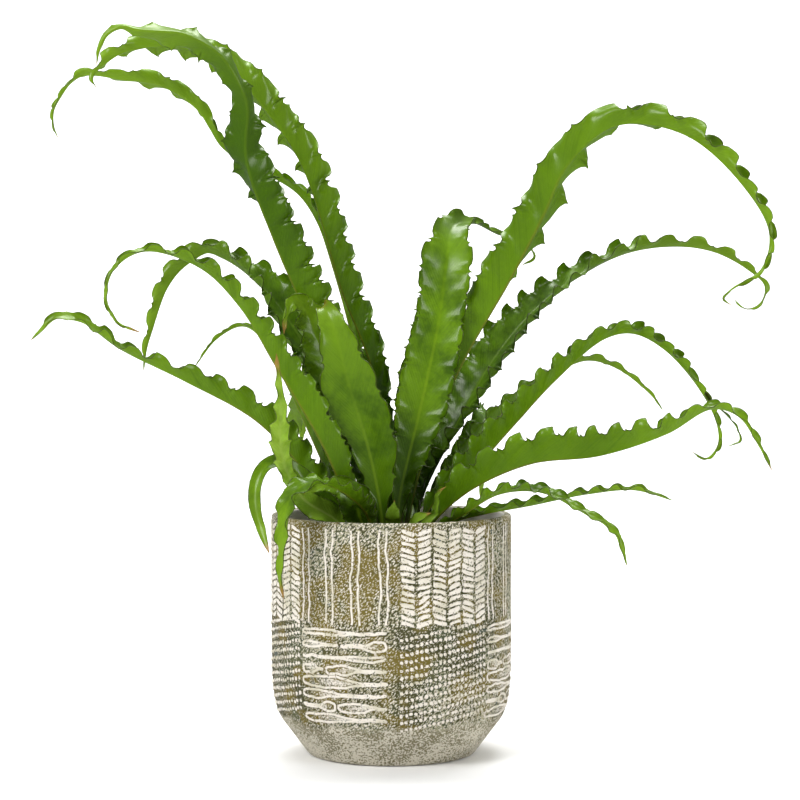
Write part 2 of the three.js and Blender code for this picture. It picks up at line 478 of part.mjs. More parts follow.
// Crown of the plant: a low dome of rhizome with one plain socket for each frond
function crownGeometry() {
  const foot = SOIL_TOP + SOIL_HEAP - CROWN_ROOT;
  const profile = [[0, foot], [CROWN_RADIUS, foot]];
  for (let i = 0; i <= CROWN_RINGS; i += 1) {
    const radius = CROWN_RADIUS * (1 - i / CROWN_RINGS);
    profile.push([radius, crownTop(radius, 0)]);
  }
  let solid = toSolid(turned(profile, CROWN_SEGMENTS));
  for (const frond of FRONDS) {
    const curve = fullRoute(frond);
    const start = curve.getPointAt(0);
    const direction = curve.getTangentAt(0);
    const length = SOCKET_DEPTH * SOCKET_CUT;
    const socket = new THREE.CylinderGeometry(SOCKET_RADIUS, SOCKET_RADIUS, length, SOCKET_SIDES);
    socket.rotateX(Math.PI / 2);
    socket.translate(0, 0, length / 2 - GAP);
    socket.applyQuaternion(new THREE.Quaternion().setFromUnitVectors(UP, direction));
    socket.translate(start.x, start.y, start.z);
    solid = solid.subtract(toSolid(socket));
  }
  return toGeometry(solid);
}

const MATERIALS = {
  stoneware: new THREE.MeshStandardMaterial({ name: 'stoneware', color: 0xb0ac97, roughness: 0.85 }),
  soil: new THREE.MeshStandardMaterial({ name: 'soil', color: 0x3a2a1c, roughness: 0.95 }),
  crown: new THREE.MeshStandardMaterial({ name: 'crown', color: 0x4a3a20, roughness: 0.9 }),
  leaf: new THREE.MeshStandardMaterial({ name: 'leaf', color: 0x6a9228, roughness: 0.4 }),
  leaf_deep: new THREE.MeshStandardMaterial({ name: 'leaf_deep', color: 0x4c701c, roughness: 0.4 }),
  leaf_young: new THREE.MeshStandardMaterial({ name: 'leaf_young', color: 0x9abb58, roughness: 0.4 }),
};

const part = new THREE.Group();
part.name = 'potted_osaka_birds_nest_fern';

function addPiece(name, geometry, slot) {
  const mesh = new THREE.Mesh(geometry, MATERIALS[slot]);
  mesh.name = name;
  part.add(mesh);
}

addPiece('pot', potGeometry(), 'stoneware');
addPiece('soil', soilGeometry(), 'soil');
addPiece('crown', crownGeometry(), 'crown');
for (const frond of FRONDS) {
  let geometry = bladeGeometry(frond);
  if (frond.name === FORK.parent) {
    geometry = toGeometry(toSolid(geometry).add(toSolid(bladeGeometry(FORK))));
  }
  addPiece(frond.name, geometry, frond.slot);
}

export default part;
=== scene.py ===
# A potted Osaka bird's nest fern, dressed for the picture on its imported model.
# Metres, +Z up, and -Y is the front. Every piece rides on the one body, because nothing on the plant moves.
import math

import bpy
import numpy as np
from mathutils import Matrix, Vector, noise


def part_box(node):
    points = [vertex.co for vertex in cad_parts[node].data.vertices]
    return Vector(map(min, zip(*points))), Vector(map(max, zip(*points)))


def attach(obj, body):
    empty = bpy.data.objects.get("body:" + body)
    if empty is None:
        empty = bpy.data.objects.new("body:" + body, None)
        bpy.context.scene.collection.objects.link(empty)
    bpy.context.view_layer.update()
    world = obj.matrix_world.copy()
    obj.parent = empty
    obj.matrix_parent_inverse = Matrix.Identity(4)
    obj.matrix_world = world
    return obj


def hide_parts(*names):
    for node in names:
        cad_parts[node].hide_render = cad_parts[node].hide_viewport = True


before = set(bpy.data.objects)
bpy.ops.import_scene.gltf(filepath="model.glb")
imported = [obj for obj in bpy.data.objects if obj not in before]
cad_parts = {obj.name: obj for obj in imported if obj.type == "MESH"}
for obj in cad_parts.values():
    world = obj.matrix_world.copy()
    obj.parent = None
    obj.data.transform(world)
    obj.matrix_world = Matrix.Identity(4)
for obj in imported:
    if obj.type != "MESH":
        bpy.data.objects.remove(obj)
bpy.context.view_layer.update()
MM = 0.001


# Studio: the plant stands on white paper that curves up behind it, under wide soft lamps, and is
# photographed from well back with the lens a little over half way up its height.
LENS = 108
CAMERA_PLACE = (0.0054, -1.5, 0.276)
CAMERA_DIP = 2.1
PAPER_HALF_WIDTH = 4.0
PAPER_FRONT = -3.0
PAPER_BACK = 2.2
PAPER_RISE = 3.0
PAPER_BEND = 0.8
PAPER_STEPS = 12
# Each lamp: its name, its place, the spot that it points at, its width in metres and its watts
LAMPS = [
    ("lamp_left", (-1.1, -1.2, 1.25), (0, 0, 0.24), 0.8, 25),
    ("lamp_right", (1.3, -1.0, 0.7), (0, 0, 0.24), 0.6, 9),
    ("lamp_above", (0.1, 0.4, 1.6), (0, 0, 0.24), 0.8, 12),
    ("lamp_paper", (0, 0.9, 2.6), (0, 2.9, 0.9), 2.2, 130),
]
DAYLIGHT = 0.27

camera_data = bpy.data.cameras.new("camera")
camera_data.lens = LENS
camera_data.clip_end = 20
camera = bpy.data.objects.new("camera", camera_data)
camera.location = CAMERA_PLACE
camera.rotation_euler = (math.radians(90 - CAMERA_DIP), 0, 0)
bpy.context.scene.collection.objects.link(camera)
bpy.context.scene.camera = camera
bpy.context.scene.view_settings.view_transform = "Standard"

for lamp_name, lamp_place, lamp_aim, lamp_size, lamp_power in LAMPS:
    lamp_data = bpy.data.lights.new(lamp_name, "AREA")
    lamp_data.size = lamp_size
    lamp_data.energy = lamp_power
    lamp = bpy.data.objects.new(lamp_name, lamp_data)
    lamp.location = lamp_place
    lamp.rotation_euler = (Vector(lamp_aim) - lamp.location).to_track_quat("-Z", "Y").to_euler()
    bpy.context.scene.collection.objects.link(lamp)

world = bpy.data.worlds.new("daylight")
world.use_nodes = True
world.node_tree.nodes["Background"].inputs["Color"].default_value = (1, 1, 1, 1)
world.node_tree.nodes["Background"].inputs["Strength"].default_value = DAYLIGHT
bpy.context.scene.world = world


class Wire:
    """One output of a node. A sum written with it adds Math nodes to its tree."""

    def __init__(self, plan, socket):
        self.plan = plan
        self.socket = socket

    def math(self, operation, *others):
        return self.plan.node("ShaderNodeMath", {"operation": operation}, (self, *others))

    def also(self, name):
        return Wire(self.plan, self.socket.node.outputs[name])

    def __add__(self, other):
        return self.math("ADD", other)

    def __sub__(self, other):
        return self.math("SUBTRACT", other)

    def __mul__(self, other):
        return self.math("MULTIPLY", other)

    def __truediv__(self, other):
        return self.math("DIVIDE", other)

    def __pow__(self, other):
        return self.math("POWER", other)

    def __rsub__(self, other):
        return self * -1 + other

    def __abs__(self):
        return self.math("ABSOLUTE")

    __radd__ = __add__


class Plan:
    """The node tree of one finish or one repeated pattern."""

    def __init__(self, tree):
        self.tree = tree

    def node(self, kind, settings=(), values=(), out=0):
        made = self.tree.nodes.new(kind)
        for name, value in dict(settings).items():
            setattr(made, name, value)
        for place, value in values.items() if isinstance(values, dict) else enumerate(values):
            if isinstance(value, Wire):
                self.tree.links.new(value.socket, made.inputs[place])
            else:
                made.inputs[place].default_value = value
        return Wire(self, made.outputs[out]) if made.outputs else None

    def step(self, value, low, high):
        """0 below low, 1 above high and smooth between them."""
        return self.node("ShaderNodeMapRange", {"interpolation_type": "SMOOTHSTEP"}, {
            "Value": value, "From Min": low, "From Max": high})

    def grain(self, place, size, detail=3.0):
        """Cloudy noise from 0 to 1 whose patches are about size across."""
        return self.node("ShaderNodeTexNoise", {"noise_dimensions": "3D"}, {
            "Vector": place, "Scale": 1 / size, "Detail": detail})

    def tint(self, first, second, share):
        return self.node("ShaderNodeMix", {"data_type": "RGBA"}, {0: share, 6: first, 7: second}, out=2)

    def place(self):
        """Where a point of the surface lies on its own piece, in metres."""
        return self.node("ShaderNodeTexCoord", out="Object")

    def mark(self, name):
        """A number that the mesh carries at its points."""
        return self.node("ShaderNodeAttribute", {"attribute_name": name}, out="Fac")


def paint(red, green, blue):
    """A colour as the eye and the screen give it, from 0 to 255, as light for the renderer."""
    shares = [value / 255 for value in (red, green, blue)]
    return tuple(s / 12.92 if s <= 0.04045 else ((s + 0.055) / 1.055) ** 2.4 for s in shares) + (1.0,)


def new_finish(name):
    """An empty material and the plan of its nodes."""
    made = bpy.data.materials.new(name)
    made.use_nodes = True
    made.node_tree.nodes.clear()
    return made, Plan(made.node_tree)


def close_finish(plan, colour, rough, relief=None, depth=0.0, fixed=()):
    """Puts the colour, roughness and fine relief, in metres, on the surface."""
    values = {"Base Color": colour, "Roughness": rough, **dict(fixed)}
    if relief is not None:
        values["Normal"] = plan.node("ShaderNodeBump", (), {"Height": relief, "Distance": depth})
    skin = plan.node("ShaderNodeBsdfPrincipled", (), values)
    plan.node("ShaderNodeOutputMaterial", (), {"Surface": skin})


def link_mesh(name, points, faces, finish):
    """A smooth mesh object from points in metres."""
    mesh = bpy.data.meshes.new(name)
    mesh.from_pydata(np.asarray(points).tolist(), [], [list(map(int, face)) for face in faces])
    mesh.materials.append(finish)
    mesh.shade_smooth()
    made = bpy.data.objects.new(name, mesh)
    bpy.context.scene.collection.objects.link(made)
    return made


PAPER_WHITE = paint(254, 254, 254)
PAPER_DULL = paint(252, 252, 252)
PAPER_CLOUD = 0.4

paper_finish, plan = new_finish("paper")
paper_shade = plan.tint(PAPER_WHITE, PAPER_DULL, plan.grain(plan.place(), PAPER_CLOUD))
close_finish(plan, paper_shade, 0.9)

paper_side = [(PAPER_FRONT, 0.0), (PAPER_BACK, 0.0)]
for step in range(1, PAPER_STEPS + 1):
    turn = math.radians(90 * step / PAPER_STEPS)
    paper_side.append((PAPER_BACK + PAPER_BEND * math.sin(turn), PAPER_BEND * (1 - math.cos(turn))))
paper_side.append((PAPER_BACK + PAPER_BEND, PAPER_RISE))
paper_points = [(side * PAPER_HALF_WIDTH, y, z) for y, z in paper_side for side in (-1, 1)]
paper_faces = [(2 * k, 2 * k + 1, 2 * k + 3, 2 * k + 2) for k in range(len(paper_side) - 1)]
paper = link_mesh("paper", paper_points, paper_faces, paper_finish)
paper.visible_glossy = False


# Pot: a straight stoneware pot, thrown and fired, with a sloped foot band. It is stained olive brown
# all over, and pale slip stands on the worn relief, so the stain stays in the hollows.
POT_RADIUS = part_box("pot")[1].x
POT_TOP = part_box("pot")[1].z
WALL = 5 * MM
FLOOR = 8 * MM
FOOT_RADIUS = 50 * MM
FOOT_ROUND = 3 * MM
SLOPE_TOP = 22 * MM
SLOPE_TOP_RADIUS = 68.5 * MM
SHOULDER_TOP = 60 * MM
RIM_ROUND = 1.6 * MM
BAND_LOW = 27 * MM
BAND_MIDDLE = 88 * MM
BAND_HIGH = 146.5 * MM
# Where the fields of the pattern meet, in degrees round the pot from the middle of its front
FIELD_EDGES = [-46.3, 3.4, 50.2, 103, 181.5, 260, 313.7]
WALL_WANDER = 0.25 * MM
AROUND_POT = 200
FOOT_SLOPE = (SLOPE_TOP_RADIUS - FOOT_RADIUS - FOOT_ROUND) / (SLOPE_TOP - FOOT_ROUND / 2)
CORNER_HEIGHT = SLOPE_TOP + (POT_RADIUS - SLOPE_TOP_RADIUS) / FOOT_SLOPE
STAIN_DARK = paint(66, 66, 34)
STAIN_YELLOW = paint(106, 93, 34)
STAIN_GREY = paint(72, 80, 56)
STAIN_BLUE = paint(56, 76, 76)
SLIP = paint(228, 221, 210)
SLIP_DULL = paint(184, 178, 146)
FOOT_CLAY = paint(204, 198, 180)
FOOT_SPECK = paint(98, 92, 54)
# The inside of the pot: partly its pale clay and partly painted light, lighter than the clay so that the
# shaded inside looks lit
INNER_CLAY_PAINTED_LIGHT = paint(228, 222, 216)
GRAIN_LENGTH = 2.1 * MM
GRAIN_WIDTH = 1.0 * MM
GRAIN_SHAKE = 1.2 * MM
FLECK_SIZE = 0.9 * MM
CLOUD_SIZE = 20 * MM
DRIFT_SIZE = 26 * MM
SPILL_SIZE = 14 * MM
PIT_SIZE = 1.2 * MM
WORN_PLACE = (44 * MM, -60 * MM, 34 * MM)
WORN_NEAR = 12 * MM
WORN_FAR = 36 * MM
WORN_WANDER = 30 * MM
FOOT_GRAIN_SIZE = 1.1 * MM
FOOT_CLOUD_SIZE = 16 * MM
FOOT_EDGE_WANDER = 12 * MM
# How bare of stain the wall is, outside and from the rim inwards
WALL_BARE = 0.12
RIM_BARE = 0.36


def shoulder_share(below):
    """How far round the shoulder's curve the wall is, 0 at its top, from the depth below that top."""
    first = 2 * (SHOULDER_TOP - CORNER_HEIGHT)
    second = SLOPE_TOP - 2 * CORNER_HEIGHT + SHOULDER_TOP
    return ((first * first - below * (4 * second)) ** 0.5 * -1 + first) / (2 * second)


def wall_radius(height):
    if height < SLOPE_TOP:
        return FOOT_RADIUS + FOOT_ROUND + FOOT_SLOPE * (height - FOOT_ROUND / 2)
    return POT_RADIUS - (POT_RADIUS - SLOPE_TOP_RADIUS) * shoulder_share(max(0, SHOULDER_TOP - height)) ** 2


def ring_mesh(name, rings, first, last, finish, marks=()):
    """A closed skin through rings of points, with one point to close each end and marks at its points."""
    count, around = rings.shape[:2]
    start = np.arange(count - 1)[:, None] * around
    place = np.arange(around)[None, :]
    after = (place + 1) % around
    corners = [start + place, start + after, start + around + after, start + around + place]
    faces = np.stack(corners, axis=-1).reshape(-1, 4).tolist()
    ring = np.arange(around)
    following = (ring + 1) % around
    foot = count * around
    end = foot - around
    faces += [(foot, b, a) for a, b in zip(ring, following)]
    faces += [(foot + 1, end + a, end + b) for a, b in zip(ring, following)]
    made = link_mesh(name, np.vstack([rings.reshape(-1, 3), [first], [last]]), faces, finish)
    for label, values in dict(marks).items():
        mark = made.data.attributes.new(label, "FLOAT", "POINT")
        mark.data.foreach_set("value", np.append(values.reshape(-1), [values[0].mean(), values[-1].mean()]))
    return made


def turned_rings(profile, around):
    """Rings of points round the z axis for a profile of radius and height."""
    turns = np.arange(around) * 2 * math.pi / around
    profile = np.array(profile)
    radius, height = profile[:, :1], profile[:, 1:]
    return np.stack([radius * np.cos(turns), radius * np.sin(turns), height + 0 * turns], axis=-1)


def dress(piece, slot, *nodes):
    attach(piece, "root")
    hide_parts(*nodes)


def joined(plan, x, y, z):
    return plan.node("ShaderNodeCombineXYZ", (), (x, y, z))


def parts_of(plan, vector):
    apart = plan.node("ShaderNodeSeparateXYZ", (), (vector,), out="X")
    return apart, apart.also("Y"), apart.also("Z")


def beside(plan, place, *offset):
    """The same cloudy pattern taken from another spot."""
    return plan.node("ShaderNodeVectorMath", {"operation": "ADD"}, (place, offset))


def slip_grains(plan, place):
    """Distance from the middle of the nearest of many slanting grains, round the wall, in grain sizes."""
    x, y, z = parts_of(plan, place)
    around = x.math("ARCTAN2", y * -1) * POT_RADIUS
    shake = plan.grain(place, 3 * MM, 1) * GRAIN_SHAKE
    uphill = (around + z + shake) * (0.7 / GRAIN_LENGTH)
    downhill = (z - around - shake) * (0.7 / GRAIN_WIDTH)
    return plan.node("ShaderNodeTexVoronoi", {"voronoi_dimensions": "2D"}, {
        "Vector": joined(plan, uphill, downhill, 0.0), "Scale": 1.0}, out="Distance")


def stoneware_colour(plan, place, slipped, sparse):
    """Stain strewn with pale grains in the hollows, and specked slip where slipped is near 1."""
    fleck = plan.grain(place, FLECK_SIZE, 2)
    cloud = plan.grain(place, CLOUD_SIZE, 3)
    drift = plan.grain(beside(plan, place, 3, 5, 7), DRIFT_SIZE, 2)
    spill = plan.grain(beside(plan, place, 9, 1, 4), SPILL_SIZE, 2)
    stain = plan.tint(STAIN_DARK, STAIN_YELLOW, plan.step(cloud, 0.44, 0.58))
    stain = plan.tint(stain, STAIN_GREY, plan.step(drift, 0.52, 0.62) * 0.8)
    stain = plan.tint(stain, STAIN_BLUE, plan.step(spill, 0.67, 0.73) * 0.8)
    away = plan.node("ShaderNodeVectorMath", {"operation": "DISTANCE"}, (place, WORN_PLACE), out="Value")
    worn = 1 - plan.step(away + (cloud - 0.5) * WORN_WANDER, WORN_NEAR, WORN_FAR)
    rich = plan.step(cloud, 0.46, 0.6) * (1 - worn)
    size = 0.34 + (drift - 0.5) * 0.5 + (fleck - 0.5) * 0.5 + worn * 0.18 - rich * 0.08 - sparse * 0.16
    pale = (1 - plan.step(slip_grains(plan, place) - size, 0.0, 0.14)) * (0.75 + (fleck - 0.5) * 1.2)
    grains = plan.tint(SLIP_DULL, SLIP, plan.step(fleck, 0.5, 0.62))
    stain = plan.tint(stain, grains, pale.math("MINIMUM", 1.0))
    slip = plan.tint(SLIP, SLIP_DULL, plan.step(spill, 0.45, 0.7) * 0.6)
    pits = 1 - plan.step(plan.grain(place, PIT_SIZE, 2), 0.33, 0.4)
    slip = plan.tint(slip, stain, pits * 0.85)
    edge = slipped + (fleck - 0.5) * 0.6
    return plan.tint(stain, slip, plan.step(edge, 0.35, 0.6)), fleck + pale * 0.5


stoneware, plan = new_finish("stoneware")
pot_place = plan.place()
pot_height = plan.node("ShaderNodeSeparateXYZ", (), (pot_place,), out="Z")
pot_colour, pot_fleck = stoneware_colour(plan, pot_place, plan.mark("bare"), plan.mark("sparse"))
foot_grain = plan.grain(pot_place, FOOT_GRAIN_SIZE, 1)
foot_cloud = plan.grain(pot_place, FOOT_CLOUD_SIZE, 3)
stained = plan.step(pot_height, 2 * MM, BAND_LOW) * 0.1
foot_speck = plan.step(foot_grain + (foot_cloud - 0.5) * 0.45 + stained, 0.53, 0.59)
foot_colour = plan.tint(FOOT_CLAY, FOOT_SPECK, foot_speck * 0.85)
foot_edge = pot_height + (foot_cloud - 0.5) * FOOT_EDGE_WANDER
foot_share = plan.step(foot_edge, BAND_LOW + 1 * MM, BAND_LOW - 4 * MM)
pot_colour = plan.tint(pot_colour, foot_colour, foot_share)
# The inside takes a pale colour that is partly its clay and partly painted light on its shaded wall
pot_colour = plan.tint(pot_colour, INNER_CLAY_PAINTED_LIGHT, plan.mark("inner"))
close_finish(plan, pot_colour, 0.82, pot_fleck + foot_grain * 0.5, 0.3 * MM)

shoulder = [(wall_radius(z), z) for z in np.linspace(SLOPE_TOP, SHOULDER_TOP, 14)]
straight = [(POT_RADIUS, z) for z in np.linspace(SHOULDER_TOP, POT_TOP - RIM_ROUND, 24)[1:-1]]
rim = []
for centre, start in ((POT_RADIUS - RIM_ROUND, 0), (POT_RADIUS - WALL + RIM_ROUND, 90)):
    for step in range(5):
        turn = math.radians(start + 90 * step / 4)
        rim.append((centre + RIM_ROUND * math.cos(turn), POT_TOP - RIM_ROUND + RIM_ROUND * math.sin(turn)))
foot = [(FOOT_RADIUS * 0.5, 0), (FOOT_RADIUS * 0.94, 0), (FOOT_RADIUS, 0.2 * MM)]
foot += [(FOOT_RADIUS + FOOT_ROUND * 0.7, 0.7 * MM)]
foot += [(wall_radius(z), z) for z in np.linspace(FOOT_ROUND / 2, SLOPE_TOP, 10)[:-1]]
inside = [(r - WALL, z + 1 * MM) for r, z in reversed(shoulder + straight)]
pot_profile = foot + shoulder + straight + rim + inside + [(FOOT_RADIUS, FLOOR), (FOOT_RADIUS * 0.5, FLOOR)]
pot_rings = turned_rings(pot_profile, AROUND_POT)
outer = len(foot + shoulder + straight)
for ring in pot_rings[4:outer]:
    for point in ring:
        spread = noise.noise(Vector(point) * 28) + 0.4 * noise.noise(Vector(point) * 110)
        point[:2] *= 1 + WALL_WANDER * spread / POT_RADIUS
pot_bare = np.full(pot_rings.shape[:2], WALL_BARE)
pot_bare[outer:] = RIM_BARE
pot_inner = np.zeros(pot_rings.shape[:2])
pot_inner[outer + 7:] = 1
turn = np.degrees(np.arctan2(pot_rings[..., 0], -pot_rings[..., 1]))
dotted = np.searchsorted(FIELD_EDGES, np.mod(turn - FIELD_EDGES[0], 360) + FIELD_EDGES[0]) % 2 == 0
dotted &= (pot_rings[..., 2] > BAND_LOW) & (pot_rings[..., 2] < BAND_MIDDLE)
pot_marks = {"bare": pot_bare, "inner": pot_inner, "sparse": dotted.astype(float)}
pot = ring_mesh("pot_body", pot_rings, (0, 0, 0), (0, 0, FLOOR), stoneware, pot_marks)
dress(pot, "stoneware", "pot")


# Relief: the wall has two bands, each of six fields round the pot. Herringbone stands over rows of
# dots, and pairs of upright lines stand over long drops that lie on their sides. All of it is slip
# laid on by hand a little proud of the wall, so the rows wander and no two marks are alike.
RELIEF = 0.45 * MM
FIELD_GAP = 1.2 * MM
COLUMN_WIDTH = 10.2 * MM
COLUMN_GAP = 1.3 * MM
BLOCK_ROWS = 16
BLOCK_ROW = 3.65 * MM
BLOCK_HEIGHT = 2.75 * MM
BLOCK_SLANT = 0.32
DOT_PITCH = 3.05 * MM
DOT_ROWS = 13
DOT_ROW = 4.6 * MM
DOT_SIZE = 2.3 * MM
DOT_TILT = 0.17
DOT_LIFT = 1.2
DOT_SHAKE = 0.4 * MM
PAIR_PITCH = 17.8 * MM
PAIR_GAP = 4.5 * MM
PAIR_START = 1.6 * MM
PAIR_END = 6 * MM
LINE_RADIUS = 0.8 * MM
LINE_RAISED = 1 * MM
LINE_SHORTENED = 1.5 * MM
LINE_POINTS = 40
DROP_ROWS = 8
DROP_ROW = 7.5 * MM
DROP_HEIGHT = 6.6 * MM
DROP_END = 5.5 * MM
OUTLINE_RADIUS = 0.95 * MM
OUTLINE_POINTS = 64
BEAD_SIDES = 7
FILL_SHARE = 0.55
# A row holds one drop instead of two from this share of its length on
WHOLE_FROM = 0.74
# How a hand strays: over what length, and by how much
BLOCK_SWAY = (7 * MM, 3.6 * MM)
FINE_SWAY = (2 * MM, 0.6 * MM)
LINE_SWAY = (16 * MM, 4.2 * MM)
LINE_TREMBLE = (3 * MM, 1.2 * MM)
DROP_SWAY = (8 * MM, 2.6 * MM)
DROP_TREMBLE = (2.2 * MM, 1.0 * MM)


def add_sum(plan, *parts):
    total = parts[0]
    for part in parts[1:]:
        total = plan.node("ShaderNodeVectorMath", {"operation": "ADD"}, (total, part))
    return total


def here(plan):
    return plan.node("GeometryNodeInputPosition")


def move(plan, shape, place):
    return plan.node("GeometryNodeSetPosition", (), {"Geometry": shape, "Position": place})


def carry(plan, shape, name, value, domain="INSTANCE"):
    """A number stored on each instance, which hands it to its points, or on each point."""
    return plan.node("GeometryNodeStoreNamedAttribute", {"data_type": "FLOAT", "domain": domain},
                     {"Geometry": shape, "Name": name, "Value": value})


def carried(plan, name):
    return plan.node("GeometryNodeInputNamedAttribute", {"data_type": "FLOAT"}, {"Name": name})


def loosen(plan, shapes):
    """Instances made into plain points and faces."""
    return plan.node("GeometryNodeRealizeInstances", (), {"Geometry": shapes})


def wandering(plan, shape, size, amount):
    """Moves points about in the plane of the wall, as a hand does."""
    push = plan.node("ShaderNodeTexNoise", (), {
        "Vector": here(plan), "Scale": 1 / size, "Detail": 1.0}, out="Color")
    push_x, push_y, _ = parts_of(plan, push)
    place = add_sum(plan, here(plan), joined(plan, (push_x - 0.5) * amount, (push_y - 0.5) * amount, 0.0))
    return move(plan, shape, place)


def round_the_pot(plan, shape, thickness):
    """Lays flat work, with x along the wall, y its height and z its lift, on the pot."""
    along, height, lift = parts_of(plan, here(plan))
    marked = carry(plan, shape, "bare", lift / thickness, "POINT")
    below = (SHOULDER_TOP - height).math("MAXIMUM", 0.0)
    radius = POT_RADIUS - shoulder_share(below) ** 2 * (POT_RADIUS - SLOPE_TOP_RADIUS) + lift
    turn = along / POT_RADIUS
    place = joined(plan, radius * turn.math("SINE"), radius * turn.math("COSINE") * -1, height)
    return move(plan, marked, place)


def lump(plan, width, height, lift, square, segments, rings):
    """A rounded block of slip, half sunk in the wall. A small square value gives a flat top."""
    ball = plan.node("GeometryNodeMeshUVSphere", (), {"Segments": segments, "Rings": rings, "Radius": 1.0})
    sides = [abs(part) ** square * part.math("SIGN") for part in parts_of(plan, here(plan))]
    place = joined(plan, sides[0] * width * 0.5, sides[1] * height * 0.5, sides[2] * lift)
    return move(plan, ball, place)


def chance_of(plan, low, high, seed, number=None):
    """A random number for each point, or for each whole number given."""
    values = {2: low, 3: high, "Seed": seed}
    if number is not None:
        values["ID"] = number
    return plan.node("FunctionNodeRandomValue", {"data_type": "FLOAT"}, values, out=1)


def scatter(plan, places, shape, turn, size):
    return plan.node("GeometryNodeInstanceOnPoints", (), {
        "Points": places, "Instance": shape, "Rotation": turn, "Scale": size})


def grow(name, build, sizes, finish):
    """The mesh that a pattern makes from its named sizes."""
    tree = bpy.data.node_groups.new(name, "GeometryNodeTree")
    tree.interface.new_socket("Geometry", in_out="OUTPUT", socket_type="NodeSocketGeometry")
    for label, value in sizes.items():
        kind = "NodeSocketInt" if isinstance(value, int) else "NodeSocketFloat"
        tree.interface.new_socket(label, in_out="INPUT", socket_type=kind)
    plan = Plan(tree)
    inputs = tree.nodes.new("NodeGroupInput")
    shape = build(plan, *[Wire(plan, inputs.outputs[label]) for label in sizes])
    shape = plan.node("GeometryNodeSetMaterial", (), {"Geometry": loosen(plan, shape), "Material": finish})
    plan.node("NodeGroupOutput", (), {"Geometry": shape})
    carrier = bpy.data.objects.new(name, bpy.data.meshes.new(name))
    bpy.context.scene.collection.objects.link(carrier)
    modifier = carrier.modifiers.new(name, "NODES")
    modifier.node_group = tree
    for socket in tree.interface.items_tree:
        if socket.in_out == "INPUT":
            modifier[socket.identifier] = sizes[socket.name]
    evaluated = carrier.evaluated_get(bpy.context.evaluated_depsgraph_get())
    mesh = bpy.data.meshes.new_from_object(evaluated)
    carrier.modifiers.remove(modifier)
    carrier.data = mesh
    mesh.name = name
    mesh.shade_smooth()
    return carrier


def herringbone(plan, left, width, columns, rows):
    """Columns of slanted blocks, whose slant turns over from one column to the next."""
    pitch = width / columns
    tall = rows * BLOCK_ROW
    grid = plan.node("GeometryNodeMeshGrid", (), {
        "Size X": width - pitch, "Size Y": tall - BLOCK_ROW, "Vertices X": columns, "Vertices Y": rows})
    middle = (BAND_MIDDLE + BAND_HIGH) / 2
    placed = move(plan, grid, add_sum(plan, here(plan), joined(plan, left + width * 0.5, middle, 0.0)))
    number = plan.node("GeometryNodeInputIndex")
    column = (number / rows + 0.001).math("FLOOR")
    lean = (column.math("MODULO", 2.0) - 0.5) * 2 * BLOCK_SLANT + chance_of(plan, -0.06, 0.06, 11)
    block = lump(plan, pitch - COLUMN_GAP, BLOCK_HEIGHT, RELIEF, square=0.3, segments=16, rings=6)
    size = joined(plan, chance_of(plan, 0.93, 1.02, 12), chance_of(plan, 0.78, 1.08, 13), 1.0)
    turn = joined(plan, 0.0, 0.0, chance_of(plan, -0.03, 0.03, 14))
    blocks = carry(plan, scatter(plan, placed, block, turn, size), "lean", lean)
    blocks = carry(plan, blocks, "middle", parts_of(plan, here(plan))[0])
    reach = parts_of(plan, here(plan))[0] - carried(plan, "middle")
    slope = joined(plan, 0.0, reach * carried(plan, "lean"), 0.0)
    leaning = move(plan, loosen(plan, blocks), add_sum(plan, here(plan), slope))
    uneven = wandering(plan, leaning, *BLOCK_SWAY)
    return round_the_pot(plan, wandering(plan, uneven, *FINE_SWAY), RELIEF)


def dots(plan, left, width, columns, rows):
    """Rows of small raised dots that climb a little to the right."""
    pitch = width / columns
    tall = rows * DOT_ROW
    grid = plan.node("GeometryNodeMeshGrid", (), {
        "Size X": width - pitch, "Size Y": tall - DOT_ROW, "Vertices X": columns, "Vertices Y": rows})
    along, height, _ = parts_of(plan, here(plan))
    middle = (BAND_LOW + BAND_MIDDLE) / 2
    across = along + left + width * 0.5 + chance_of(plan, -DOT_SHAKE, DOT_SHAKE, 21)
    upwards = height + middle + along * DOT_TILT + chance_of(plan, -DOT_SHAKE, DOT_SHAKE, 22)
    placed = move(plan, grid, joined(plan, across, upwards, 0.0))
    dot = lump(plan, DOT_SIZE, DOT_SIZE, RELIEF * DOT_LIFT, square=0.7, segments=7, rings=5)
    size = joined(plan, chance_of(plan, 0.75, 1.15, 23), chance_of(plan, 0.75, 1.2, 24), 1.0)
    turn = joined(plan, 0.0, 0.0, chance_of(plan, -0.6, 0.6, 25))
    loose = loosen(plan, scatter(plan, placed, dot, turn, size))
    return round_the_pot(plan, wandering(plan, loose, *FINE_SWAY), RELIEF)


def round_path(plan, points, radius):
    return plan.node("GeometryNodeCurvePrimitiveCircle", {"mode": "RADIUS"}, {
        "Resolution": points, "Radius": radius})


def bead(plan, path, radius, flat):
    """A round bead of slip along a path, pressed flat against the wall."""
    rod = plan.node("GeometryNodeCurveToMesh", (), {
        "Curve": path, "Profile Curve": round_path(plan, BEAD_SIDES, radius), "Fill Caps": True})
    along, height, lift = parts_of(plan, here(plan))
    return move(plan, rod, joined(plan, along, height, lift * flat))


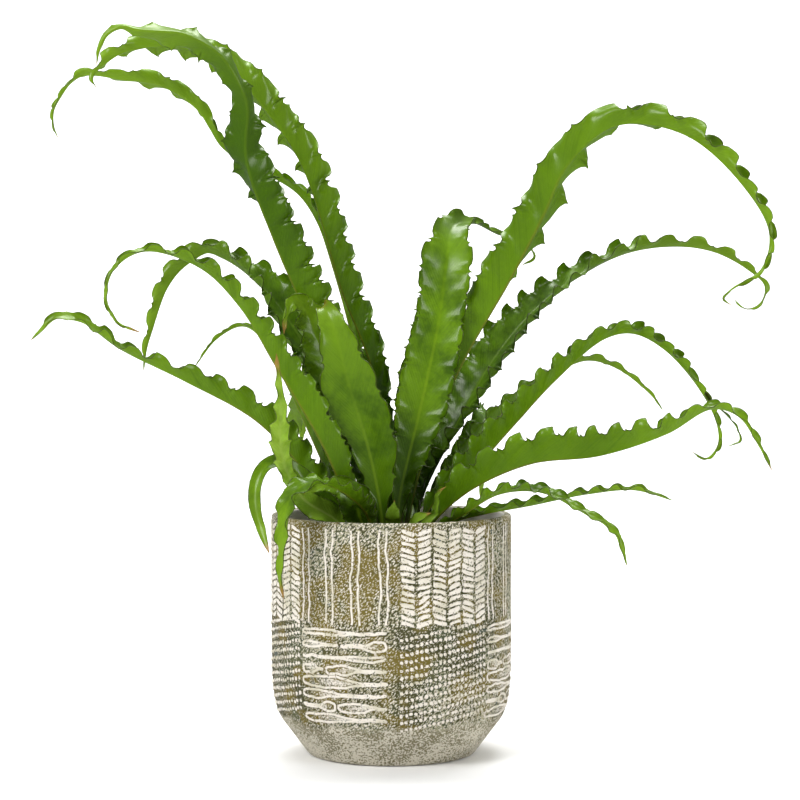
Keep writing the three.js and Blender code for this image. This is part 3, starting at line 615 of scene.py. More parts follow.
def upright_lines(plan, left, width, pairs):
    """Pairs of wavering upright lines."""
    path = plan.node("GeometryNodeCurvePrimitiveLine", (), {"End": (0.0, 1.0, 0.0)})
    path = plan.node("GeometryNodeResampleCurve", (), {"Curve": path, "Count": LINE_POINTS})
    row = plan.node("GeometryNodeMeshLine", (), {"Count": pairs * 2})
    number = plan.node("GeometryNodeInputIndex")
    pair = (number / 2 + 0.001).math("FLOOR")
    second = number.math("MODULO", 2.0)
    pitch = (width - PAIR_START - PAIR_GAP - PAIR_END) / (pairs - 1)
    across = left + PAIR_START + pair * pitch + second * PAIR_GAP
    placed = move(plan, row, joined(plan, across, BAND_MIDDLE + LINE_RAISED, 0.0))
    size = joined(plan, 1.0, BAND_HIGH - BAND_MIDDLE - LINE_SHORTENED, 1.0)
    lines = scatter(plan, placed, path, (0.0, 0.0, 0.0), size)
    wavy = wandering(plan, wandering(plan, loosen(plan, lines), *LINE_SWAY), *LINE_TREMBLE)
    return round_the_pot(plan, bead(plan, wavy, LINE_RADIUS, RELIEF / LINE_RADIUS), RELIEF)


def drops(plan, left, width, rows):
    """Rows of long drops on their sides, one long one or two short ones to a row."""
    grid = plan.node("GeometryNodeMeshGrid", (), {
        "Size X": 1.0, "Size Y": rows * DROP_ROW - DROP_ROW, "Vertices X": 2, "Vertices Y": rows})
    number = plan.node("GeometryNodeInputIndex")
    right = (number / rows + 0.001).math("FLOOR")
    row = number - right * rows
    part = chance_of(plan, 0.3, 1.5, 65, row)
    whole = part.math("GREATER_THAN", WHOLE_FROM)
    share = part * (1 - whole) + whole
    span = share + right * (1 - share * 2)
    middle = (share * 0.5 + right * 0.5) * width + left
    _, height, _ = parts_of(plan, here(plan))
    placed = move(plan, grid, joined(plan, middle, height + (BAND_LOW + BAND_MIDDLE) / 2, 0.0))
    placed = carry(plan, placed, "span", span, "POINT")
    placed = plan.node("GeometryNodeDeleteGeometry", {"domain": "POINT"}, {
        "Geometry": placed, "Selection": carried(plan, "span").math("LESS_THAN", 0.1)})
    long = carried(plan, "span") * (width * 0.5) - FIELD_GAP
    size = joined(plan, long, chance_of(plan, 0.45, 1.1, 32) * (DROP_HEIGHT * 0.5), 1.0)
    turn = joined(plan, 0.0, 0.0, chance_of(plan, 0.0, 1.0, 33).math("GREATER_THAN", 0.68) * math.pi)

    def laid(shape):
        """One ring or disc to a drop, narrowed to a thick tail beyond the drop's neck."""
        x, y, z = parts_of(plan, here(plan))
        shapes = scatter(plan, placed, carry(plan, shape, "reach", x, "POINT"), turn, size)
        shapes = carry(plan, shapes, "neck", chance_of(plan, -0.35, 0.35, 34))
        shapes = carry(plan, shapes, "level", parts_of(plan, here(plan))[1])
        neck = carried(plan, "neck")
        reach = carried(plan, "reach")
        blunt = (1.02 - reach * reach) ** -0.3
        narrow = blunt * (1 - plan.step(reach, neck - 0.35, neck + 0.35) * 0.8)
        level = carried(plan, "level")
        x, y, z = parts_of(plan, here(plan))
        formed = move(plan, loosen(plan, shapes), joined(plan, x, (y - level) * narrow + level, z))
        return wandering(plan, wandering(plan, formed, *DROP_SWAY), *DROP_TREMBLE)

    ring = laid(round_path(plan, OUTLINE_POINTS, 1.0))
    outline = bead(plan, ring, OUTLINE_RADIUS, RELIEF / OUTLINE_RADIUS)
    ball = plan.node("GeometryNodeMeshUVSphere", (), {"Segments": 40, "Rings": 6, "Radius": 1.0})
    x, y, z = parts_of(plan, here(plan))
    fills = laid(move(plan, ball, joined(plan, x, y, z * (RELIEF * FILL_SHARE))))
    both = plan.node("GeometryNodeJoinGeometry", (), {"Geometry": fills})
    plan.tree.links.new(outline.socket, both.socket.node.inputs[0])
    return round_the_pot(plan, both, RELIEF)


slip_finish, plan = new_finish("slip_relief")
slip_place = plan.place()
slip_colour, slip_fleck = stoneware_colour(plan, slip_place, plan.mark("bare"), 0.5)
close_finish(plan, slip_colour, 0.78, slip_fleck, 0.2 * MM)

for field, (start, end) in enumerate(zip(FIELD_EDGES, FIELD_EDGES[1:])):
    left = math.radians(start) * POT_RADIUS + FIELD_GAP / 2
    width = math.radians(end - start) * POT_RADIUS - FIELD_GAP
    if field % 2:
        blocks = round(width / COLUMN_WIDTH)
        patterns = [
            ("herringbone", herringbone, width, {"columns": blocks, "rows": BLOCK_ROWS}),
            ("dots", dots, width, {"columns": round(width / DOT_PITCH), "rows": DOT_ROWS}),
        ]
    else:
        patterns = [
            ("lines", upright_lines, width, {"pairs": round(width / PAIR_PITCH + 0.3)}),
            ("drops", drops, width - DROP_END, {"rows": DROP_ROWS}),
        ]
    for name, pattern, reach, counts in patterns:
        sizes = {"left": left, "width": reach, **counts}
        dress(grow(f"{name}_{field}", pattern, sizes, slip_finish), "stoneware", "pot")


# Soil: dark peat compost, heaped a little towards the crown, with crumbs, chips of bark and a few
# pale grains of perlite lying on it. It fills the pot to a little below the rim.
SOIL_TOP = 124 * MM
SOIL_HEAP = 4 * MM
SOIL_SINK = 2 * MM
CLEARANCE = 0.3 * MM
SOIL_RADIUS = POT_RADIUS - WALL - CLEARANCE
SOIL_SHELF = SOIL_RADIUS - 12 * MM
CROWN_RADIUS = 27 * MM
CROWN_HOLE = CROWN_RADIUS + CLEARANCE
HOLE_DEPTH = 12.3 * MM
HOLE_FLOOR = SOIL_TOP + SOIL_HEAP - HOLE_DEPTH
HEAP_EDGE = CROWN_HOLE + 6 * MM
SOIL_ROUGHNESS = 1.3 * MM
AROUND_SOIL = 150
LITTER_FROM_WALL = 1.5 * MM
LITTER_FROM_CROWN = 1 * MM
CRUMBS = 1500
CHIPS = 130
PEAT = paint(52, 38, 27)
PEAT_DARK = paint(28, 20, 15)
PEAT_DRY = paint(86, 66, 46)
BARK = paint(104, 72, 46)
PERLITE = paint(214, 208, 196)

peat, plan = new_finish("peat")
peat_place = plan.place()
peat_grain = plan.grain(peat_place, 1.5 * MM, 4)
peat_cloud = plan.grain(peat_place, 14 * MM, 2)
peat_colour = plan.tint(PEAT_DARK, PEAT, plan.step(peat_grain, 0.35, 0.6))
peat_colour = plan.tint(peat_colour, PEAT_DRY, plan.step(peat_cloud + peat_grain * 0.4, 0.72, 0.95))
close_finish(plan, peat_colour, 0.95, peat_grain, 1.2 * MM)

bark, plan = new_finish("bark_chips")
bark_place = plan.place()
bark_grain = plan.grain(bark_place, 0.9 * MM, 4)
bark_pick = plan.grain(bark_place, 6 * MM, 0)
bark_colour = plan.tint(PEAT, BARK, plan.step(bark_grain, 0.3, 0.7))
bark_colour = plan.tint(bark_colour, PERLITE, plan.step(bark_pick, 0.68, 0.7))
close_finish(plan, bark_colour, 0.9, bark_grain, 0.6 * MM)


def soil_height(radius):
    """Height of the soil between the pot's wall and the crown."""
    share = min(1, max(0, (SOIL_SHELF - radius) / (SOIL_SHELF - HEAP_EDGE)))
    sink = max(0, (radius - SOIL_SHELF) / (SOIL_RADIUS - SOIL_SHELF))
    return SOIL_TOP + SOIL_HEAP * share - SOIL_SINK * sink


inner_wall = [(r - CLEARANCE, z) for r, z in reversed(inside) if z < SOIL_TOP - 3 * MM]
soil_profile = [(FOOT_RADIUS * 0.5, FLOOR + CLEARANCE), (FOOT_RADIUS, FLOOR + CLEARANCE)] + inner_wall
soil_start = len(soil_profile)
soil_profile += [(r, soil_height(r)) for r in np.linspace(SOIL_RADIUS, CROWN_HOLE, 34)]
soil_end = len(soil_profile)
soil_profile += [(CROWN_HOLE, HOLE_FLOOR), (CROWN_HOLE * 0.5, HOLE_FLOOR)]
soil_rings = turned_rings(soil_profile, AROUND_SOIL)
for ring in soil_rings[soil_start + 1:soil_end]:
    for point in ring:
        bump = noise.noise(Vector(point) * 90) + 0.7 * noise.noise(Vector(point) * 260)
        point[2] += SOIL_ROUGHNESS * bump
soil = ring_mesh("soil_body", soil_rings, (0, 0, FLOOR + CLEARANCE), (0, 0, HOLE_FLOOR), peat)
dress(soil, "soil", "soil")


def strewn_points(plan, radius, corners, density, seed):
    """Points strewn over a flat round patch, with their number to the square metre."""
    disc = plan.node("GeometryNodeMeshCircle", {"fill_type": "NGON"}, {
        "Vertices": corners, "Radius": radius})
    return plan.node("GeometryNodeDistributePointsOnFaces", {"distribute_method": "RANDOM"}, {
        "Mesh": disc, "Density": density, "Seed": seed})


def soil_litter(plan, amount, smallest, largest, flatness, seed):
    """Crumbs or chips strewn over the soil, clear of the crown."""
    density = amount / (math.pi * SOIL_RADIUS ** 2)
    points = strewn_points(plan, SOIL_RADIUS - LITTER_FROM_WALL, 64, density, seed)
    along, across, _ = parts_of(plan, here(plan))
    radius = (along * along + across * across) ** 0.5
    share = plan.node("ShaderNodeMapRange", (), {
        "Value": radius, "From Min": SOIL_SHELF, "From Max": HEAP_EDGE})
    points = move(plan, points, joined(plan, along, across, share * SOIL_HEAP + SOIL_TOP + smallest * 0.3))
    points = plan.node("GeometryNodeDeleteGeometry", {"domain": "POINT"}, {
        "Geometry": points, "Selection": radius.math("LESS_THAN", CROWN_HOLE + LITTER_FROM_CROWN)})
    grit = plan.node("GeometryNodeMeshIcoSphere", (), {"Radius": 1.0, "Subdivisions": 1})
    rough = add_sum(plan, here(plan), plan.node("FunctionNodeRandomValue", {"data_type": "FLOAT_VECTOR"}, {
        0: (-0.3, -0.3, -0.3), 1: (0.3, 0.3, 0.3), "Seed": seed + 1}))
    grit = move(plan, grit, rough)
    scale = chance_of(plan, smallest, largest, seed + 2)
    size = joined(plan, scale * chance_of(plan, 0.8, 1.6, seed + 3), scale, scale * flatness)
    turn = joined(plan, chance_of(plan, -0.5, 0.5, seed + 4), chance_of(plan, -0.5, 0.5, seed + 5),
                  chance_of(plan, 0.0, 6.28, seed + 6))
    return scatter(plan, points, grit, turn, size)


crumb_sizes = {
    "amount": float(CRUMBS), "smallest": 0.6 * MM, "largest": 1.7 * MM, "flatness": 0.8, "seed": 41}
chip_sizes = {
    "amount": float(CHIPS), "smallest": 1.6 * MM, "largest": 4.2 * MM, "flatness": 0.35, "seed": 61}
dress(grow("soil_crumbs", soil_litter, crumb_sizes, peat), "soil", "soil")
dress(grow("soil_chips", soil_litter, chip_sizes, bark), "soil", "soil")


# Crown: the short upright rootstock, a low dome of old frond bases felted with brown fibre and
# covered with narrow papery scales that point up and outwards between the stalks.
CROWN_RISE = 14 * MM
CROWN_DEPTH = 12 * MM
CROWN_FOOT = SOIL_TOP + SOIL_HEAP - CROWN_DEPTH
CROWN_BUMPS = 1.2 * MM
SCALES = 620
FIBRE = paint(74, 56, 34)
FIBRE_DARK = paint(38, 28, 18)
SCALE_BROWN = paint(112, 84, 50)


def crown_height(x, y):
    return SOIL_TOP + SOIL_HEAP + CROWN_RISE * (1 - (x * x + y * y) / CROWN_RADIUS ** 2)


felt, plan = new_finish("crown_felt")
felt_place = plan.place()
felt_grain = plan.grain(felt_place, 1.1 * MM, 4)
felt_colour = plan.tint(FIBRE_DARK, FIBRE, plan.step(felt_grain, 0.35, 0.65))
felt_colour = plan.tint(felt_colour, SCALE_BROWN, plan.step(plan.grain(felt_place, 4 * MM, 2), 0.55, 0.8))
close_finish(plan, felt_colour, 0.92, felt_grain, 0.8 * MM)

crown_profile = [(CROWN_RADIUS * 0.5, CROWN_FOOT), (CROWN_RADIUS, CROWN_FOOT)]
crown_profile += [(CROWN_RADIUS, z) for z in np.linspace(CROWN_FOOT, SOIL_TOP + SOIL_HEAP, 8)[1:-1]]
crown_profile += [(r, crown_height(r, 0)) for r in np.linspace(CROWN_RADIUS, 1 * MM, 26)]
crown_rings = turned_rings(crown_profile, 90)
for ring in crown_rings[8:]:
    for point in ring:
        point[2] += CROWN_BUMPS * noise.noise(Vector(point) * 160)
crown = ring_mesh("crown_body", crown_rings, (0, 0, CROWN_FOOT), (0, 0, crown_height(0, 0)), felt)
dress(crown, "crown", "crown")


def crown_scales(plan, amount, length, width):
    """Narrow pointed scales that stand on the dome."""
    points = strewn_points(plan, CROWN_RADIUS, 48, amount / (math.pi * CROWN_RADIUS ** 2), 71)
    along, across, _ = parts_of(plan, here(plan))
    share = (along * along + across * across) / CROWN_RADIUS ** 2
    height = (1 - share) * CROWN_RISE + SOIL_TOP + SOIL_HEAP - 0.8 * MM
    points = move(plan, points, joined(plan, along, across, height))
    scale = plan.node("GeometryNodeMeshCone", (), {
        "Vertices": 5, "Side Segments": 3, "Radius Top": 0.02, "Radius Bottom": 0.5, "Depth": 1.0})
    side, deep, up = parts_of(plan, here(plan))
    bent = joined(plan, side * width, deep * width * 0.3 + up * up * length * 0.35, up * length)
    scale = move(plan, scale, bent)
    tilt = chance_of(plan, -1.1, 0.3, 72)
    around = across.math("ARCTAN2", along) - math.pi / 2 + chance_of(plan, -0.7, 0.7, 73)
    turn = joined(plan, tilt, 0.0, around)
    long = chance_of(plan, 0.6, 1.4, 74)
    return scatter(plan, points, scale, turn, joined(plan, long, long, long))


scale_sizes = {"amount": float(SCALES), "length": 5.5 * MM, "width": 1.5 * MM}
dress(grow("crown_scales", crown_scales, scale_sizes, felt), "crown", "crown")


# Fronds: undivided leathery blades with waved, toothed margins, each on a short stalk that stands in
# the crown. They are folded along a stout midrib, arch outwards and hang at their narrow tips.

# A frond has its foot on the crown and the route of its midrib in millimetres. Its lists are spaced evenly
# from foot to tip: width is half the blade's width in mm, roll turns the blade about its midrib and fold
# lifts its two halves, in degrees, and wave is the length of the margin's waves in mm. Ruffle is the waves'
# height in mm, and sides is how full the left and right half are low down, where the fronds crowd. Where
# they are given, calm makes the waves lower (or higher, below 0), painted_shade is painted shade that turns
# the blade towards its deep green where it lies in the shade of other fronds, and dry is the share of the
# length that is brown at the tip.
FRONDS = [
    dict(name="frond_a", slot="leaf", foot=(-8, 3),
         wave=[18, 16, 14, 14, 16, 20, 24, 24, 20], ruffle=4.2, sides=(1, 0.7), seed=1,
         calm=[0.1, 0, 0, 0, 0.2, 0.3, 0.3], painted_shade=[0.4, 0.25, 0.1, 0.3, 0.9, 1, 0.8, 0.3],
         route=[(-11, 4, 177), (-44, 0, 255), (-72, -11, 319), (-89, -22, 370), (-88, -28, 401),
                (-92, -32, 414), (-102, -36, 430), (-114, -40, 439), (-126, -44, 444), (-139, -46, 445),
                (-153, -46, 446), (-163, -46, 448), (-172, -45, 443), (-176, -44, 435),
                (-178, -43, 425)],
         width=[2.2, 7, 12, 17, 20, 21, 20, 19, 18, 16, 9, 13, 15, 4, 1.2],
         roll=[-112, -112, -112, -112, -113, -114, -116, -120, -150, -190, -203, -206, -205, -195,
               -120],
         fold=[60, 64, 68, 68, 68, 66, 64, 60, 46, 36, 42, 55, 62, 60, 45]),
    dict(name="frond_b", slot="leaf", foot=(-1, 11),
         wave=[22, 26, 20, 16, 22, 22, 16], ruffle=4.4, sides=(1, 0.7), seed=2,
         calm=[0, 0, -0.4, -0.4], painted_shade=[1, 0.9, 0.7, 0.5, 0, 0.2, 0.4],
         route=[(-3, 13, 170), (-11, 15, 236), (-31, 17, 289), (-57, 22, 370), (-82, 22, 407),
                (-97, 22, 424), (-112, 22, 436), (-128, 21, 442), (-146, 20, 444), (-160, 19, 442),
                (-170, 18, 439), (-178, 17, 434), (-185, 17, 428), (-188, 16, 422), (-185, 16, 416)],
         width=[2.2, 6, 8, 10.5, 13, 14.5, 15, 15, 15.5, 15.5, 15, 12, 9, 7, 1],
         roll=[-115, -115, -115, -115, -115, -116, -118, -121, -130, -142, -148, -150, -145, -115, -90],
         fold=[60, 65, 65, 65, 65, 62, 58, 52, 48, 46, 45, 42, 35, 35, 45]),
    dict(name="frond_c", slot="leaf", foot=(-8, 14),
         wave=[16, 18, 22, 22, 20, 16], ruffle=3.4, sides=(1, 1), seed=3,
         painted_shade=[0, 0],
         route=[(-10, 26, 163), (-22, 48, 245), (-39, 67, 308), (-49, 65, 336), (-61, 62, 353),
                (-80, 60, 365), (-98, 58, 374), (-110, 57, 383), (-117, 56, 394), (-123, 55, 404),
                (-131, 54, 412), (-140, 53, 418), (-151, 52, 423), (-163, 51, 425), (-176, 50, 426),
                (-189, 49, 428), (-198, 49, 428), (-206, 48, 423), (-212, 48, 415), (-217, 47, 405),
                (-217, 47, 395), (-214, 47, 387)],
         width=[2.2, 7, 9, 10, 9, 8, 7, 6.5, 6, 6, 5, 7.5, 8, 5, 3, 1],
         roll=[-100, -100, -100, -100, -98, -95, -95, -95, -95, -98, -105, -135, -145, -115, -95, -90],
         fold=[50, 50, 50, 50, 48, 45, 45, 48, 52, 58, 58, 42, 36, 36, 35, 35]),
    dict(name="frond_e", slot="leaf", foot=(-15, -8),
         wave=[16, 16, 16, 18, 14], ruffle=3.6, sides=(1, 0.6), seed=4,
         calm=[0.3, 0.9, 0.2, 0, 0], dry=0.015,
         route=[(-24, -22, 152), (-42, -32, 195), (-70, -36, 243), (-92, -47, 280), (-115, -61, 303),
                (-147, -74, 312), (-164, -79, 301), (-168, -82, 284), (-161, -83, 270),
                (-148, -82, 264)],
         width=[2.2, 9, 15, 16, 13, 10, 8, 4.5, 2, 1],
         roll=[-115, -120, -125, -125, -120, -110, -100, -95, -90, -90],
         fold=[55, 60, 60, 55, 50, 45, 45, 45, 40, 40]),
    dict(name="frond_f", slot="leaf_deep", foot=(-14, 8),
         wave=[15, 14, 14, 18, 16], ruffle=3.8, sides=(0.6, 1), seed=5,
         calm=[0.4, 0.4], painted_shade=[0.6, 0.35, 0.1, 0.1, 0],
         route=[(-20, 13, 165), (-32, 24, 202), (-46, 25, 235), (-62, 28, 265), (-79, 34, 288),
                (-97, 37, 304), (-109, 40, 311), (-118, 42, 314), (-128, 44, 309), (-137, 46, 302),
                (-145, 47, 291), (-150, 48, 279), (-154, 48, 266), (-158, 48, 253), (-160, 48, 238)],
         width=[2.2, 8, 13, 17, 20, 23, 25, 22, 15, 11, 10, 9, 7, 4, 1],
         roll=[-85, -70, -55, -45, -38, -34, -33, -36, -50, -70, -86, -94, -94, -92, -90],
         fold=[50, 40, 32, 28, 25, 25, 25, 30, 38, 45, 45, 45, 45, 45, 45]),
    dict(name="frond_h", slot="leaf", foot=(-22, -1),
         wave=[18, 17, 18, 20, 18], ruffle=3.4, sides=(1, 0.8), seed=6,
         calm=[0.3, 0.2],
         route=[(-36, 1, 147), (-57, -2, 180), (-84, -12, 209), (-127, -28, 234), (-165, -42, 254),
                (-188, -50, 271), (-201, -53, 273), (-217, -54, 259)],
         width=[2.2, 9, 13, 15, 14, 12, 8, 6, 4, 1],
         roll=[-100, -110, -120, -125, -125, -120, -110, -80, -60, -60],
         fold=[50, 55, 50, 50, 48, 45, 45, 35, 25, 20]),
    dict(name="frond_i", slot="leaf", foot=(-21, 9),
         wave=[14, 14], ruffle=2, sides=(1, 1), seed=7,
         painted_shade=[0.4],
         route=[(-33, 14, 157), (-62, 28, 220), (-86, 38, 262), (-96, 39, 267), (-112, 40, 259),
                (-127, 40, 240)],
         width=[2, 5, 6, 6, 5, 3, 1],
         roll=[-95, -95, -100, -100, -95, -90, -90],
         fold=[45, 45, 45, 45, 45, 40, 40]),
    dict(name="frond_j", slot="leaf_young", foot=(-16, -17),
         wave=[12, 14, 12], ruffle=2.2, sides=(1, 1), seed=8,
         calm=[0.6, 0.3, -1.2, -1.2], dry=0.05,
         route=[(-34, -21, 147), (-54, -34, 162), (-64, -44, 181), (-67, -57, 201), (-66, -66, 217),
                (-68, -76, 251)],
         width=[2, 5, 9, 8, 4.5, 5.5, 6.5, 4, 2, 0.9],
         roll=[-60, -50, -30, -10, 0, 10, 20, 10, 0, 0],
         fold=[35, 35, 30, 25, 22, 20, 20, 25, 30, 30]),
    dict(name="frond_k", slot="leaf", foot=(-7, -21), face=(0.77, -0.64),
         wave=[12, 10, 9, 12, 18, 20, 20], ruffle=2.4, sides=(1, 1), seed=9,
         calm=[-1, 0.3, 0.6], dry=0.04,
         route=[(-15, -38, 153), (-24, -52, 164), (-34, -62, 171), (-44, -68, 174), (-52, -72, 172),
                (-59, -74, 167), (-62, -75, 158), (-64, -75, 146), (-65, -74, 133), (-66, -74, 119),
                (-64, -74, 105)],
         width=[2, 4, 6, 8, 9.5, 10, 9.5, 8.6, 7, 5, 3.4, 2.4, 0.9],
         roll=[-90, -90, -90, -90, -90, -85, -76, -68, -62, -60, -60, -65, -70],
         fold=[30, 30, 28, 25, 22, 20, 18, 16, 16, 16, 16, 16, 16]),
    dict(name="frond_d", slot="leaf", foot=(-20, -12),
         wave=[12, 16, 18], ruffle=1, sides=(1, 1), seed=10,
         calm=[0.7, 0.7], painted_shade=[0.4], dry=0.03,
         route=[(-38, -15, 152), (-50, -19, 166), (-60, -23, 178), (-68, -27, 184), (-76, -30, 182),
                (-82, -34, 173), (-83, -38, 159), (-79, -43, 144), (-74, -50, 130)],
         width=[2, 6, 8, 7, 5, 4.4, 4.2, 3, 1],
         roll=[-60, -40, -20, -30, -50, -60, -60, -60, -60],
         fold=[30, 25, 20, 20, 25, 25, 25, 25, 25]),
    dict(name="frond_v", slot="leaf", foot=(-12, -14),
         wave=[10, 10], ruffle=2.6, sides=(1, 1), seed=11,
         calm=[-0.5, 0.6, -0.5], painted_shade=[0.5],
         route=[(-18, -25, 145), (-23, -32, 160), (-31, -35, 169), (-42, -37, 170), (-53, -38, 165)],
         width=[2, 8, 12, 12, 8, 3.5, 1],
         roll=[-10, -10, -15, -20, -20, -10, 0],
         fold=[25, 20, 15, 15, 20, 25, 25]),
    dict(name="frond_l", slot="leaf", foot=(-5, -12),
         wave=[26, 30, 28, 18], ruffle=2.8, sides=(0.62, 1), seed=12,
         calm=[0.5, 0.7, 0.95, 0.5], painted_shade=[0.6, 0.1, 0.2, 0.4], dry=0.03,
         route=[(-7, -15, 157), (-14, -17, 191), (-25, -24, 228), (-34, -28, 262), (-39, -25, 275),
                (-42, -20, 279), (-43, -16, 275)],
         width=[2.2, 7, 14, 19, 20, 18, 14, 9, 3],
         roll=[0, 0],
         fold=[30, 22, 18, 16, 16, 16, 18, 20, 20]),
    dict(name="frond_g", slot="leaf", foot=(-6, -4),
         wave=[18, 16, 14], ruffle=3.2, sides=(0.7, 1), seed=13,
         painted_shade=[0.8, 0.5, 0.2], dry=0.03,
         route=[(-12, -5, 165), (-25, -10, 212), (-45, -10, 257), (-55, -13, 280), (-60, -18, 284),
                (-65, -23, 276), (-66, -26, 262)],
         width=[2.2, 8, 14, 18, 19, 17, 12, 5, 1],
         roll=[0, 0, 0, -5, -10, -15, -20, -30, -30],
         fold=[30, 22, 18, 16, 16, 18, 20, 22, 25]),
    dict(name="frond_m", slot="leaf", foot=(4, -4),
         wave=[14, 15, 17, 15], ruffle=3.4, sides=(1, 1), seed=14,
         calm=[0.65, 0.65], painted_shade=[0.3, 0.1, 0, 0.2, 0.5],
         route=[(5, -3, 159), (18, 1, 215), (30, 3, 272), (35, 8, 311), (39, 21, 329), (52, 36, 333),
                (69, 50, 326), (85, 55, 322), (92, 55, 312), (84, 52, 306)],
         width=[2.2, 8, 14, 18, 18, 16.5, 18, 12, 5, 3, 1],
         roll=[0, 0],
         fold=[30, 25, 20, 18, 18, 18, 20, 25, 30, 30, 30]),
    dict(name="frond_n", slot="leaf", foot=(8, 5),
         wave=[18, 18, 24, 28, 28, 24, 20, 16], ruffle=5, sides=(0.7, 1), seed=15,
         calm=[0.2, 0.8, 0, -0.3, 0], painted_shade=[0.3, 0.15, 0, 0.2, 0.1, 0, 0],
         route=[(13, 9, 158), (24, 11, 196), (45, 8, 245), (75, 1, 298), (95, -5, 337), (107, -11, 364),
                (128, -18, 386), (147, -22, 392), (182, -30, 383), (215, -36, 352), (230, -39, 324),
                (225, -40, 302), (207, -40, 290), (202, -39, 284), (207, -39, 280)],
         width=[2.2, 9, 14, 18, 21, 20, 16, 13, 10.5, 6.5, 3, 1],
         roll=[115, 118, 118, 121, 136, 155, 157, 138, 120, 106, 96, 90],
         fold=[60, 62, 62, 59, 50, 42, 42, 44, 45, 43, 40, 40]),
    dict(name="frond_o", slot="leaf_deep", foot=(13, 10),
         wave=[15, 15, 14, 18, 18, 14], ruffle=3.6, sides=(1, 1), seed=16,
         calm=[0.4, 0.3, 0.1],
         route=[(20, 23, 160), (39, 32, 198), (65, 45, 244), (92, 56, 276), (123, 64, 300),
                (155, 69, 315), (188, 71, 319), (212, 71, 315), (232, 67, 304), (243, 64, 293),
                (240, 62, 282), (231, 63, 278), (222, 65, 285)],
         width=[2.2, 10, 17, 20, 18, 15, 12, 10, 8.5, 6, 3, 1],
         roll=[90, 73, 54, 44, 42, 46, 54, 66, 80, 90, 90, 90],
         fold=[50, 42, 34, 28, 26, 27, 30, 35, 40, 40, 40, 40]),
    dict(name="frond_p", slot="leaf", foot=(14, -1),
         wave=[15, 15, 15, 15, 16, 14], ruffle=3.4, sides=(0.8, 1), seed=17,
         calm=[0.3, 0.2, 0],
         route=[(24, -2, 154), (52, -4, 179), (76, -10, 206), (101, -20, 234), (131, -31, 260),
                (148, -35, 263), (167, -38, 253), (187, -42, 230), (198, -42, 209), (199, -41, 195),
                (192, -41, 187), (183, -41, 191)],
         width=[2.2, 9, 14, 15, 13, 11, 9, 8, 6, 4, 2.6, 1],
         roll=[110, 112, 115, 115, 115, 112, 108, 104, 100, 95, 90, 90],
         fold=[52, 52, 50, 50, 48, 46, 45, 45, 45, 40, 40, 40]),
    dict(name="frond_t", slot="leaf_deep", foot=(20, 5),
         wave=[14, 14, 14], ruffle=2.6, sides=(1, 1), seed=18,
         route=[(31, 13, 158), (50, 20, 190), (75, 28, 216), (102, 37, 235), (125, 42, 245),
                (145, 45, 240), (168, 46, 222), (175, 44, 212)],
         width=[2, 6, 9, 9, 8, 6, 5, 3, 1],
         roll=[95, 95, 98, 100, 100, 98, 95, 92, 90],
         fold=[45, 45, 42, 40, 40, 38, 35, 35, 35]),
    dict(name="frond_q", slot="leaf", foot=(15, -9),
         wave=[18, 18, 16, 18, 16], ruffle=3.6, sides=(0.65, 1), seed=19,
         calm=[0.5, 0.45, 0.3], painted_shade=[0.2, 0, 0, 0, 0], dry=0.01,
         route=[(30, -19, 151), (52, -28, 169), (85, -41, 184), (126, -59, 190), (164, -77, 204),
                (189, -88, 219), (204, -93, 215), (216, -98, 197), (223, -100, 183)],
         width=[2.2, 10, 17, 19, 20, 19, 16, 10, 6, 3.4, 1],
         roll=[115, 118, 120, 125, 125, 122, 118, 110, 100, 95, 90],
         fold=[55, 55, 52, 50, 50, 48, 45, 40, 35, 30, 30]),
    dict(name="frond_r", slot="leaf_deep", foot=(17, 16), face=(1, -0.5),
         wave=[14, 14], ruffle=2.8, sides=(1, 1), seed=20,
         route=[(30, 27, 158), (50, 42, 188), (62, 56, 206), (66, 80, 208), (64, 112, 186),
                (60, 136, 150)],
         width=[2, 7, 10, 11, 10, 8, 5, 1],
         roll=[95, 95, 92, 90, 90, 90, 90, 90],
         fold=[45, 42, 40, 38, 35, 35, 35, 35]),
    dict(name="frond_s", slot="leaf", foot=(13, -19),
         wave=[13, 12], ruffle=2.2, sides=(1, 1), seed=21,
         route=[(28, -37, 143), (43, -46, 153), (65, -62, 167), (89, -76, 169), (112, -91, 159),
                (131, -100, 147), (138, -103, 128)],
         width=[2, 4, 6, 7, 7, 6, 4, 3, 1],
         roll=[100, 100, 100, 105, 105, 100, 95, 90, 90],
         fold=[45, 45, 45, 42, 42, 40, 35, 35, 35]),
    dict(name="frond_w", slot="leaf", foot=(21, -10),
         wave=[13, 14], ruffle=2, sides=(1, 1), seed=22,
         route=[(39, -28, 147), (57, -36, 153), (85, -47, 159), (118, -63, 167), (146, -72, 170),
                (168, -76, 164)],
         width=[2, 4, 6, 6, 5.5, 5, 4, 1],
         roll=[100, 100, 100, 100, 105, 105, 100, 95],
         fold=[45, 45, 45, 42, 40, 38, 35, 35]),
    dict(name="frond_u", slot="leaf_young", foot=(15, -14),
         wave=[9, 9], ruffle=1, sides=(1, 1), seed=23,
         dry=0.06,
         route=[(22, -26, 147), (27, -29, 154), (28, -32, 161), (29, -35, 166), (33, -36, 169)],
         width=[1.6, 2.6, 3.6, 3, 2, 0.8],
         roll=[60, 40, 20, 0, 0, 0],
         fold=[30, 30, 35, 40, 40, 40]),
    dict(name="frond_x", slot="leaf_deep", foot=(0, -21),
         wave=[9, 9], ruffle=1.6, sides=(1, 1), seed=24,
         route=[(1, -33, 143), (1, -41, 152), (2, -43, 161)],
         width=[1.8, 4, 6, 5, 1.5],
         roll=[0, 0],
         fold=[25, 20, 15, 15, 15]),
    dict(name="frond_y", slot="leaf_young", foot=(7, -21),
         wave=[9, 9], ruffle=1.4, sides=(1, 1), seed=25,
         dry=0.05,
         route=[(13, -35, 143), (17, -43, 151), (24, -48, 154)],
         width=[1.8, 3.5, 4.5, 3.5, 1],
         roll=[20, 20, 30, 40, 50],
